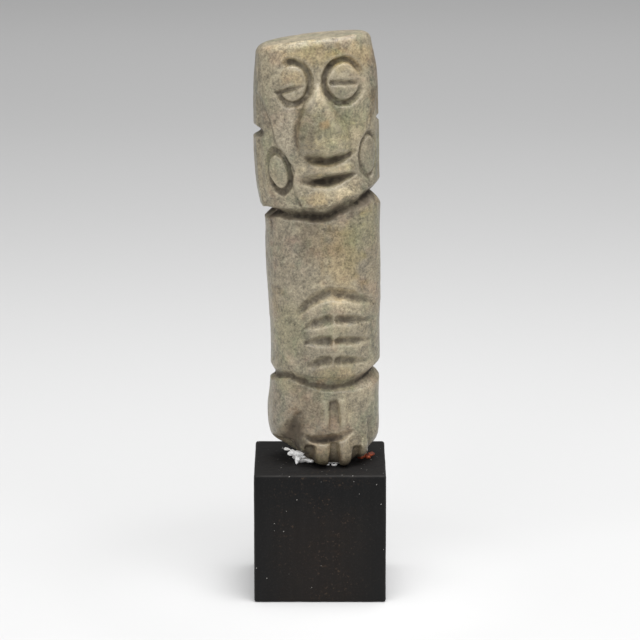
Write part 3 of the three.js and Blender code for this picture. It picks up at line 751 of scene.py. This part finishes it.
CUT_BLEND = 0.12
PIT_DEPTH = 0.10
carved = step_down
for cut in cuts:
    blend = np.clip(0.5 + 0.5 * (cut - carved) / CUT_BLEND, 0, 1)
    carved = carved + (cut - carved) * blend + CUT_BLEND * blend * (1 - blend)
uneven = 0.10 * blotch(blank, 6.5, 3) + 0.05 * blotch(blank, 2.4, 4) + 0.03 * blotch(blank, 0.9, 5)
uneven = uneven - 0.04
pits = smooth_step(blotch(blank, 1.05, 6), 0.45, 0.95) * PIT_DEPTH
relief = raised - carved + uneven - pits
skin = blank + normals * relief[..., None]
skin[..., 1] += toe_slots


def soften(values, rounds):
    """Average of each point of the grid with its neighbours, repeated."""
    for _ in range(rounds):
        values = (values + np.roll(values, 1, axis=1) + np.roll(values, -1, axis=1)) / 3
        padded = np.concatenate([values[:1], values, values[-1:]])
        values = (padded[:-2] + values + padded[2:]) / 3
    return values


# Earth lies in the cuts and hollows, round the neck and the waist, and in patches on the front,
# each with its middle, reach across and up, and amount. The same darkening also paints shade: in
# recesses, under the head and the belly, and low on the feet.
SOFTENING = 16
NECK_EARTH_AND_SHADE = [1.2, 0.95, 1.05, 0.6, 0.6, 0.6, 1.3, 1.4]
NECK_EARTH_AND_SHADE_POWER = [1.1, 1.0, 1.0, 1.0, 1.0, 1.0, 1.8, 1.5]
NECK_STAIN_AND_SHADE = [0.30, 0.30, 0.0, 0.0, 0.0, 0.1, 0.3, 0.34]
NECK_STAIN_AND_SHADE_REACH = 3.4
WAIST_EARTH_AND_SHADE = [0.95, 1.6, 2.2, 1.0, 1.0, 1.0, 0.95, 1.15]
EARTH_AND_SHADE_PATCHES = [
    (0.1, 55.4, 3.2, 1.0, 0.75), (-0.8, 59.3, 3.6, 0.7, 0.25), (-6.9, 7.6, 2.4, 3.4, 0.4),
    (-8.8, 4.6, 2.6, 2.8, 0.5), (-5.2, 3.6, 2.8, 3.2, 0.5), (1.0, 8.4, 1.4, 2.2, 0.12),
    (-3.2, 4.2, 2.6, 1.2, 0.45),
]
EARTH_AND_SHADE_MOST = 1.6
bands = np.maximum(neck, waist)
stand_out = (relief + bands) - soften(relief + bands, SOFTENING)
cut_in = np.clip(carved - bands - step_down, 0, 2) + 1.05 * toe_slots
# Places sunk below their surroundings are darkened, earth and painted shade in the recesses; raised
# places are kept clean.
earth_and_shade = 0.22 * cut_in + np.clip(-stand_out, 0, 1) - 0.9 * np.clip(stand_out, 0, 1) + 2.0 * pits
for patch in EARTH_AND_SHADE_PATCHES:
    earth_and_shade = earth_and_shade + swelling(*patch)
earth_and_shade = earth_and_shade + 0.7 * np.clip(spool_left, 0, 1) * smooth_step(SPOOL_LEFT[1] - Z, -0.5, 2.6)
earth_and_shade = earth_and_shade + 0.35 * dome((cheek_off - 0.3) / 0.6) * on_front * (1 - smooth_step(Z, 66, 72))
# Round the neck the groove and the rim under it are darkened: earth and stain, and a painted shadow
# under the head.
earth_and_shade = earth_and_shade + all_round(NECK_EARTH_AND_SHADE) * shoulder ** all_round(NECK_EARTH_AND_SHADE_POWER)
stain_and_shade = np.clip(1 + off_neck / NECK_STAIN_AND_SHADE_REACH, 0, 1) * (off_neck < 0)
earth_and_shade = earth_and_shade + stain_and_shade * all_round(NECK_STAIN_AND_SHADE)
# The waist groove is darkened: earth, and a painted shadow under the belly.
waist_floor = girdle_cut(off_waist, 0.65, 1.1, 0.42, (2.0, 1.0))
waist_slopes = girdle_cut(off_waist, 0.32, 2.6, 1.2, (1.3, 1.2))
earth_and_shade = earth_and_shade + all_round(WAIST_EARTH_AND_SHADE) * (waist_floor + waist_slopes)
# The front of the feet is darker towards the bottom: painted shade where the toes turn under.
earth_and_shade = earth_and_shade + 0.55 * (1 - smooth_step(Z, 0.3, 3.2)) * on_front
earth_and_shade = earth_and_shade + saw_cut(ANKLE_FOLD, 0.5, 0.85, 0.5, (0.4, 0.4), (1.2, 1.0))
patchy = 1 + 0.5 * blotch(blank, 1.5, 61) + 0.4 * blotch(blank, 0.5, 62)
earth_and_shade = np.clip(earth_and_shade * patchy, 0, EARTH_AND_SHADE_MOST)

# Patches on the front: middle, reach across and up, and the tint they give the stone. Most are
# patina and stains, and the smear patches are white putty. The glint, pale and light patches are
# painted highlights and painted light on the nose, eyelid, lips, chin, hands, shin ridge, forehead
# and right cheek. The cream patches are partly a cream tone and partly painted light on the crown,
# lips, hands and right side. The smoke and brown patches are partly grey and brown stains and
# partly painted shade on the legs, the feet and the left side.
SMEAR = (1.9, 1.95, 2.0)
PAINTED_GLINT = (1.45, 1.42, 1.38)
PAINTED_LIGHT = (1.09, 1.08, 1.05)
PAINTED_HIGHLIGHT = (1.26, 1.24, 1.20)
DOVE = (0.96, 0.97, 1.02)
CREAM_AND_LIGHT = (1.12, 1.10, 1.05)
OCHRE = (1.08, 1.00, 0.87)
RUST = (1.04, 0.84, 0.70)
ROSE = (1.0, 0.92, 0.88)
MOSS = (0.93, 0.96, 0.89)
SMOKE_AND_SHADE = (0.88, 0.88, 0.91)
BROWN_AND_SHADE = (0.86, 0.81, 0.76)
PATINA_AND_PAINTED_LIGHT = [
    (-2.6, 79.6, 3.5, 2.2, OCHRE), (0.8, 79.4, 2.0, 2.0, MOSS), (-7.0, 80.5, 5.0, 1.6, CREAM_AND_LIGHT),
    (6.0, 79.0, 4.5, 2.2, OCHRE), (9.6, 76.0, 1.6, 4.0, SMOKE_AND_SHADE), (9.8, 70.5, 1.8, 3.0, BROWN_AND_SHADE),
    (9.9, 70.8, 1.2, 2.4, BROWN_AND_SHADE), (-6.0, 75.7, 2.4, 1.6, OCHRE), (-2.1, 71.6, 1.2, 2.6, PAINTED_HIGHLIGHT),
    (-0.8, 67.8, 3.2, 3.2, MOSS), (0.0, 62.8, 3.4, 1.9, PAINTED_HIGHLIGHT), (-0.3, 62.9, 2.6, 1.6, PAINTED_HIGHLIGHT),
    (1.0, 58.0, 4.0, 0.8, CREAM_AND_LIGHT), (1.6, 58.0, 3.6, 0.8, CREAM_AND_LIGHT), (-0.5, 66.0, 4.5, 5.0, SMOKE_AND_SHADE),
    (-1.0, 66.9, 0.75, 0.7, RUST), (-0.2, 65.0, 4.5, 4.5, MOSS), (-4.4, 65.5, 1.8, 4.5, BROWN_AND_SHADE),
    (-5.9, 65.3, 0.5, 4.0, BROWN_AND_SHADE), (-7.9, 64.6, 2.2, 5.0, DOVE), (5.2, 66.6, 3.0, 4.5, PAINTED_LIGHT),
    (4.8, 65.4, 2.6, 4.0, PAINTED_LIGHT), (-1.5, 79.6, 8.0, 3.2, PAINTED_LIGHT), (-1.9, 71.6, 0.8, 1.8, PAINTED_GLINT),
    (3.0, 53.2, 1.5, 0.9, PAINTED_HIGHLIGHT), (-5.6, 74.3, 1.4, 0.6, PAINTED_HIGHLIGHT), (1.5, 52.5, 6.0, 3.0, PAINTED_LIGHT),
    (9.5, 40.0, 2.5, 9.0, CREAM_AND_LIGHT), (0.3, 58.3, 4.5, 0.9, PAINTED_HIGHLIGHT), (1.7, 53.2, 4.2, 1.7, PAINTED_HIGHLIGHT),
    (-2.5, 52.4, 2.0, 1.2, OCHRE), (-11.8, 58.6, 1.6, 5.0, CREAM_AND_LIGHT), (2.4, 40.5, 3.0, 6.5, OCHRE),
    (4.6, 43.5, 2.2, 5.0, MOSS), (-6.4, 43.6, 1.4, 1.8, DOVE), (-8.0, 41.0, 4.5, 7.0, SMOKE_AND_SHADE),
    (-10.4, 32.2, 1.2, 3.0, BROWN_AND_SHADE), (6.8, 46.0, 3.0, 3.5, MOSS), (-3.0, 44.0, 4.0, 3.5, BROWN_AND_SHADE),
    (7.5, 38.0, 2.5, 5.0, SMOKE_AND_SHADE), (2.4, 31.6, 4.0, 1.7, PAINTED_HIGHLIGHT), (0.8, 26.6, 2.4, 1.4, CREAM_AND_LIGHT),
    (0.7, 23.9, 0.6, 0.9, ROSE), (1.5, 18.3, 3.0, 1.8, OCHRE), (3.6, 16.0, 2.0, 1.2, MOSS),
    (-8.2, 15.6, 1.8, 1.4, MOSS), (-5.5, 14.6, 1.6, 1.8, BROWN_AND_SHADE), (-0.8, 10.8, 0.8, 3.0, PAINTED_HIGHLIGHT),
    (3.0, 10.5, 1.3, 3.2, CREAM_AND_LIGHT), (-3.6, 11.0, 2.4, 3.0, BROWN_AND_SHADE), (-9.8, 9.5, 2.5, 4.5, SMOKE_AND_SHADE),
    (-7.5, 27.0, 2.5, 5.0, MOSS), (1.0, 2.5, 8.0, 3.0, BROWN_AND_SHADE), (-1.2, 2.4, 2.2, 3.0, BROWN_AND_SHADE),
    (-5.5, 4.5, 3.0, 3.5, BROWN_AND_SHADE), (-6.0, 9.0, 7.0, 6.0, SMOKE_AND_SHADE), (1.0, 8.6, 1.6, 3.6, BROWN_AND_SHADE),
    (-7.4, 6.6, 1.8, 3.0, BROWN_AND_SHADE), (-3.9, 4.55, 0.9, 0.3, SMEAR), (-2.55, 3.8, 0.3, 0.9, SMEAR),
    (-5.0, 4.3, 0.4, 0.25, SMEAR), (6.6, 3.9, 0.25, 0.7, SMEAR),
]
tint = np.ones(skin.shape)
ragged = (1 + 0.45 * blotch(blank, 1.7, 51) + 0.25 * blotch(blank, 0.7, 52)) / 1.35
for x, z, across, up, colour in PATINA_AND_PAINTED_LIGHT:
    off = np.hypot((blank[..., 0] - x) / across, (blank[..., 2] - z) / up) * ragged
    weight = np.clip(1.25 * dome(off, 1.0), 0, 1) * on_front
    tint = tint * (1 + (np.array(colour) - 1) * weight[..., None])

cos_turn, sin_turn = math.cos(FIGURE_TURN), math.sin(FIGURE_TURN)


def to_frame(points):
    """Turns the figure on its stand and gives metres."""
    x, y, z = np.moveaxis(points, -1, 0)
    aside = x * cos_turn - y * sin_turn + FIGURE_OFFSET
    back = x * sin_turn + y * cos_turn
    return np.stack([aside, back, z + FIGURE_LIFT], axis=-1) * MM


row_count, column_count = skin.shape[:2]
poles = np.array([skin[0].mean(axis=0), skin[-1].mean(axis=0)])
vertices = to_frame(np.concatenate([skin.reshape(-1, 3), poles]))
grid = np.arange(row_count * column_count).reshape(row_count, column_count)
right_of = np.roll(grid, -1, axis=1)
quads = np.stack([grid[:-1], right_of[:-1], right_of[1:], grid[1:]], axis=-1).reshape(-1, 4)
faces = quads.tolist()
foot, top = row_count * column_count, row_count * column_count + 1
faces += [(foot, b, a) for a, b in zip(grid[0].tolist(), right_of[0].tolist())]
faces += [(top, a, b) for a, b in zip(grid[-1].tolist(), right_of[-1].tolist())]


def mesh_piece(name, vertices, faces, finish):
    """Smooth-shaded mesh object with one finish."""
    mesh = bpy.data.meshes.new(name)
    mesh.from_pydata(vertices.tolist(), [], faces)
    mesh.materials.append(finish)
    mesh.polygons.foreach_set("use_smooth", np.ones(len(mesh.polygons), bool))
    mesh.update()
    piece = bpy.data.objects.new(name, mesh)
    bpy.context.collection.objects.link(piece)
    return piece


STONE_GREY, STONE_TAN = (0.235, 0.205, 0.145, 1), (0.315, 0.270, 0.185, 1)
STONE_GREEN, STONE_WARM = (0.205, 0.205, 0.135, 1), (0.31, 0.235, 0.165, 1)
STONE_FLECK, STONE_POLISH_AND_HIGHLIGHT = (0.42, 0.375, 0.28, 1), (0.46, 0.40, 0.29, 1)
EARTH_AND_SHADE, DEEP_EARTH_AND_SHADE = (0.075, 0.058, 0.040, 1), (0.040, 0.032, 0.023, 1)
STONE_DRAWN = (1.0, 1.0, 0.55)
CRYSTAL_SCALE, SALT_SCALE = 2100.0, 3900.0
stone, wire, shader, place = new_finish("greenstone")
hollow = wire.node("ShaderNodeAttribute", {"attribute_name": "hollow"}, out=2)
proud = wire.node("ShaderNodeAttribute", {"attribute_name": "proud"}, out=2)
# Tints of the patches on the front, painted highlights and painted shade among them.
patina_and_painted_light = wire.node("ShaderNodeAttribute", {"attribute_name": "patina_and_painted_light"})
drawn = wire.node("ShaderNodeMapping", None, {"Vector": place, "Scale": STONE_DRAWN})
clouds = noise(drawn, 0.010, 4.0, 0.6)
patches = noise(drawn, 0.0045, 5.0, 0.65, (0.2, 0.1, 0.4))
warm = noise(place, 0.006, 4.0, 0.6, (0.7, 0.2, 0.3))
blots = noise(drawn, 0.0020, 3.0, 0.6, (0.1, 0.9, 0.6))
grains = noise(place, 0.0009, 4.0, 0.72)
speckle = noise(place, 0.0004, 3.0, 0.75, (0.5, 0.3, 0.1))
crystal, salt = [
    wire.node("ShaderNodeTexVoronoi", None, {"Vector": place, "Scale": scale}, out=1).axis(0)
    for scale in (CRYSTAL_SCALE, SALT_SCALE)
]
body = clouds.fade(0.35, 0.65).blend(STONE_GREY, STONE_TAN)
greened = (patches.fade(0.48, 0.66) * 0.75).blend(body, STONE_GREEN)
warmed = (warm.fade(0.52, 0.70) * 0.7).blend(greened, STONE_WARM)
shade = 0.17 + 0.52 * grains.fade(0.32, 0.68) + 0.48 * speckle.fade(0.34, 0.66)
shade = shade + 0.14 * crystal + 0.28 * salt + 0.34 * blots.fade(0.3, 0.7)
flecked = (grains * speckle).fade(0.33, 0.45).blend(shade.tint(warmed), STONE_FLECK)
# Raised places are lighter: partly pale polish wear, partly a painted highlight.
lit = (proud.fade(0.05, 0.6) * 0.4).blend(patina_and_painted_light.tint(flecked), STONE_POLISH_AND_HIGHLIGHT)
# Darkened places take an earthy brown, deepest where most darkened: earth, and painted shade in the
# grooves and under the overhangs.
earth_and_shade_colour = (hollow.fade(0.10, 0.95) * (0.55 + 0.45 * grains)).blend(lit, EARTH_AND_SHADE)
deep_earth_and_shade_colour = hollow.fade(0.95, 1.7).blend(earth_and_shade_colour, DEEP_EARTH_AND_SHADE)
feed(shader, "Base Color", deep_earth_and_shade_colour)
feed(shader, "Roughness", 0.20 + 0.28 * grains + 0.40 * hollow - 0.06 * proud)
feed(shader, "Normal", bump(wire, speckle * 0.6 + grains * 0.8, 0.00022, 0.75))
shader.inputs["Specular IOR Level"].default_value = 0.5

figure_piece = mesh_piece("carved_figure", vertices, faces, stone)
layer = figure_piece.data.attributes.new("patina_and_painted_light", "FLOAT_COLOR", "POINT")
shades = np.concatenate([tint.reshape(-1, 3), np.ones((2, 3))])
shades = np.column_stack([shades, np.ones(len(shades))])
layer.data.foreach_set("color", shades.astype(np.float32).reshape(-1))
for name, share in (("hollow", earth_and_shade), ("proud", np.clip(1.6 * stand_out, 0, 1))):
    layer = figure_piece.data.attributes.new(name, "FLOAT", "POINT")
    layer.data.foreach_set("value", np.concatenate([share.reshape(-1), [0, 0]]).astype(np.float32))
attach(figure_piece, "root")
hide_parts("figure")

# White putty squeezed from under the feet beds the figure on the stand. It has dried to a crumbly,
# torn lump at the front left.


def skin_of(field, low, high, step):
    """Closed mesh around the places where a field is below zero."""
    axes = [np.arange(a, b + step, step) for a, b in zip(low, high)]
    grid = np.stack(np.meshgrid(*axes, indexing="ij"), axis=-1)
    value = field(grid)
    shape = tuple(n - 1 for n in value.shape)
    total, count = np.zeros(shape + (3,)), np.zeros(shape)
    corners = list(np.ndindex(2, 2, 2))
    for first in corners:
        for axis in range(3):
            if first[axis]:
                continue
            second = tuple(1 if k == axis else c for k, c in enumerate(first))
            start, stop = [
                tuple(slice(c, c + n) for c, n in zip(corner, shape)) for corner in (first, second)
            ]
            here, there = value[start], value[stop]
            crossing = (here < 0) != (there < 0)
            drop = np.where(here == there, 1, here - there)
            share = np.where(crossing, here / drop, 0)[..., None]
            meeting = grid[start] * (1 - share) + grid[stop] * share
            total += np.where(crossing[..., None], meeting, 0)
            count += crossing
    used = count > 0
    index = np.full(shape, -1)
    index[used] = np.arange(used.sum())
    vertices = total[used] / count[used][:, None]
    faces = []
    for axis in range(3):
        near = np.moveaxis(value, axis, 0)
        cells = np.moveaxis(index, axis, 0)
        crossing = (near[:-1] < 0) != (near[1:] < 0)
        for i, j, k in np.argwhere(crossing[:, 1:-1, 1:-1]) + (0, 1, 1):
            ring = ((j - 1, k - 1), (j, k - 1), (j, k), (j - 1, k))
            around = [int(cells[i, b, c]) for b, c in ring]
            inward = near[i, j, k] >= 0
            faces.append(around[::-1] if inward != (axis == 1) else around)
    return vertices, faces


def lumps(points, shapes, softness):
    """Field of rounded lumps run together; each has a middle, three half sizes and a turn."""
    total = None
    for middle, size, turn in shapes:
        x, y, z = np.moveaxis(points - np.array(middle), -1, 0)
        c, s = math.cos(math.radians(turn)), math.sin(math.radians(turn))
        along, across = (x * c + y * s) / size[0], (y * c - x * s) / size[1]
        away = (np.sqrt(along**2 + across**2 + (z / size[2]) ** 2) - 1) * min(size)
        if total is None:
            total = away
        else:
            mix = np.clip(0.5 + 0.5 * (away - total) / softness, 0, 1)
            total = away * (1 - mix) + total * mix - softness * mix * (1 - mix)
    return total


STAND_TOP = STAND_EDGE / MM
SUNK_IN_PAINT = 0.15
PUTTY_LOW, PUTTY_HIGH = (-8.2, -9.2, STAND_TOP - 0.4), (7.0, 6.0, STAND_TOP + 5.2)
PUTTY_STEP = 0.11
PUTTY_WHITE, PUTTY_SOILED = (0.97, 0.965, 0.955, 1), (0.80, 0.78, 0.75, 1)
PUTTY_GLOW_LOW, PUTTY_GLOW_HIGH = (0.75, 0.74, 0.72, 1), (1.0, 0.99, 0.97, 1)
PUTTY = [
    ((1.2, 0.6, STAND_TOP - 0.1), (4.4, 4.4, 0.6), 0),
    ((-3.6, -2.6, STAND_TOP + 0.5), (1.7, 1.2, 0.7), -50),
    ((-5.1, -3.8, STAND_TOP + 1.9), (0.95, 0.62, 0.62), -30),
    ((-4.1, -4.7, STAND_TOP + 1.9), (0.95, 0.65, 0.7), -25),
    ((-3.2, -4.8, STAND_TOP + 1.5), (0.7, 0.32, 0.26), -30),
    ((-2.2, -5.1, STAND_TOP + 0.8), (0.75, 0.26, 0.2), -20),
    ((-6.4, -2.9, STAND_TOP + 2.5), (0.9, 0.28, 0.24), -30),
    ((-4.4, -4.9, STAND_TOP + 0.85), (0.4, 0.45, 0.85), 0),
    ((2.5, -5.5, STAND_TOP + 0.05), (0.75, 0.45, 0.26), -5),
]


def putty_field(points):
    """Field of the torn putty, cut off level just under the paint."""
    ragged = 0.22 * blotch(points, 0.75, 31) + 0.12 * blotch(points, 0.33, 32)
    floor_off = STAND_TOP - SUNK_IN_PAINT - points[..., 2]
    return np.maximum(lumps(points, PUTTY, 0.25) + ragged, floor_off)


putty_stuff, wire, shader, place = new_finish("white_putty")
crumb = noise(place, 0.0004, 3.0, 0.7)
soil = noise(place, 0.0012, 3.0, 0.6)
feed(shader, "Base Color", soil.fade(0.50, 0.75).blend(PUTTY_WHITE, PUTTY_SOILED))
feed(shader, "Roughness", 0.7 + 0.2 * crumb)
# The putty glows faintly: painted light that brightens it where it lies in the figure's shade.
feed(shader, "Emission Color", crumb.fade(0.2, 0.8).blend(PUTTY_GLOW_LOW, PUTTY_GLOW_HIGH))
shader.inputs["Emission Strength"].default_value = 0.07
feed(shader, "Normal", bump(wire, crumb, 0.0001, 0.6))
points, faces = skin_of(putty_field, PUTTY_LOW, PUTTY_HIGH, PUTTY_STEP)
putty_piece = mesh_piece("putty_bed", points * MM, faces, putty_stuff)
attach(putty_piece, "root")
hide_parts("mounting_putty")

# A crumb of orange wax, kneaded between the fingers and rolled into a little twist, lies on the
# stand at the right foot, where it sticks by itself.
WAX_LOW, WAX_HIGH = (6.8, -1.9, STAND_TOP - 0.4), (11.2, 1.0, STAND_TOP + 1.6)
WAX_STEP = 0.06
WAX_DARK, WAX_BRIGHT = (0.16, 0.028, 0.012, 1), (0.52, 0.105, 0.038, 1)
WAX = [
    ((8.0, -0.9, STAND_TOP + 0.45), (0.85, 0.45, 0.42), 15),
    ((8.9, -0.6, STAND_TOP + 0.5), (0.7, 0.45, 0.42), -30),
    ((9.8, -0.2, STAND_TOP + 0.65), (0.65, 0.45, 0.45), 20),
    ((9.3, -1.0, STAND_TOP + 0.3), (0.5, 0.35, 0.3), 40),
    ((10.3, 0.0, STAND_TOP + 0.8), (0.35, 0.30, 0.32), 0),
]


def wax_field(points):
    """Field of the kneaded wax, cut off level just under the paint."""
    kneaded = 0.10 * blotch(points, 0.5, 41) + 0.05 * blotch(points, 0.22, 42)
    floor_off = STAND_TOP - SUNK_IN_PAINT - points[..., 2]
    return np.maximum(lumps(points, WAX, 0.10) + kneaded, floor_off)


wax_stuff, wire, shader, place = new_finish("orange_wax")
mixed = noise(place, 0.0007, 3.0, 0.6)
feed(shader, "Base Color", mixed.fade(0.40, 0.62).blend(WAX_DARK, WAX_BRIGHT))
feed(shader, "Roughness", 0.4 + 0.2 * mixed)
feed(shader, "Normal", bump(wire, mixed, 0.00008, 0.4))
points, faces = skin_of(wax_field, WAX_LOW, WAX_HIGH, WAX_STEP)
wax_piece = mesh_piece("wax_twist", points * MM, faces, wax_stuff)
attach(wax_piece, "root")
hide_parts("wax_crumb")

# Floor, light and camera of the studio. The pale paper is painted lighter round the stand, a
# painted light that lightens the stand's shadow; it is duller towards the camera, and a faint
# painted shade darkens it some way behind.
PAPER_PAINTED_LIGHT, PAPER_PALE = (0.722, 0.722, 0.722, 1), (0.640, 0.640, 0.640, 1)
PAPER_FRONT, PAPER_SHADE = (0.30, 0.30, 0.30, 1), (0.0, 0.0, 0.0, 1)
WORLD_STRENGTH = 0.235
paper, wire, shader, place = new_finish("backdrop_paper")
away = wire.vector("LENGTH", {0: place}, out=1)
near = away.fade(0.015, 0.05).blend(PAPER_PAINTED_LIGHT, PAPER_PALE)
toward = place.axis(1)
far = toward.fade(0.10, 0.38) * (1 - toward.fade(0.46, 0.66))
near = (far * 0.09).blend(near, PAPER_SHADE)
feed(shader, "Base Color", toward.fade(-0.40, -0.05).blend(PAPER_FRONT, near))
shader.inputs["Roughness"].default_value = 0.9
floor_mesh = bpy.data.meshes.new("floor")
floor_mesh.from_pydata([(-3, -2, 0), (3, -2, 0), (3, 3, 0), (-3, 3, 0)], [], [(0, 1, 2, 3)])
floor_mesh.materials.append(paper)
floor = bpy.data.objects.new("floor", floor_mesh)
bpy.context.collection.objects.link(floor)

world = bpy.data.worlds.new("studio")
bpy.context.scene.world = world
world.use_nodes = True
world.node_tree.nodes["Background"].inputs["Color"].default_value = (1, 1, 1, 1)
world.node_tree.nodes["Background"].inputs["Strength"].default_value = WORLD_STRENGTH


def softbox(name, position, target, size, watts):
    """Square area light aimed at a point."""
    data = bpy.data.lights.new(name, "AREA")
    data.size = size
    data.energy = watts
    lamp = bpy.data.objects.new(name, data)
    bpy.context.collection.objects.link(lamp)
    lamp.location = position
    aim = np.array(target) - np.array(position)
    pitch = math.atan2(math.hypot(aim[0], aim[1]), -aim[2])
    lamp.rotation_euler = (pitch, 0, math.atan2(-aim[0], aim[1]))


softbox("overhead", (0.05, -0.05, 0.75), (0, 0.04, 0.05), 0.50, 5.8)
softbox("right_key", (0.28, -0.60, 0.78), (0, 0, 0.06), 0.75, 3.9)
softbox("left_key", (-0.42, -0.60, 0.70), (0, 0, 0.05), 0.50, 1.7)
softbox("low_fill", (-0.30, -0.85, 0.20), (0, 0, 0.03), 0.30, 1.0)

CAMERA_TARGET_HEIGHT = 0.0528
CAMERA_DISTANCE = 0.7733
CAMERA_ELEVATION = math.radians(13.6)
SENSOR = 36.0
FOCAL_PIXELS = 4024.0
FRAME_PIXELS = 640.0
camera_data = bpy.data.cameras.new("camera")
camera_data.sensor_width = SENSOR
camera_data.lens = SENSOR * FOCAL_PIXELS / FRAME_PIXELS
camera_data.clip_end = 20
camera = bpy.data.objects.new("camera", camera_data)
bpy.context.collection.objects.link(camera)
camera.location = (
    0,
    -CAMERA_DISTANCE * math.cos(CAMERA_ELEVATION),
    CAMERA_TARGET_HEIGHT + CAMERA_DISTANCE * math.sin(CAMERA_ELEVATION),
)
camera.rotation_euler = (math.pi / 2 - CAMERA_ELEVATION, 0, 0)
bpy.context.scene.camera = camera
bpy.context.scene.view_settings.view_transform = "Standard"
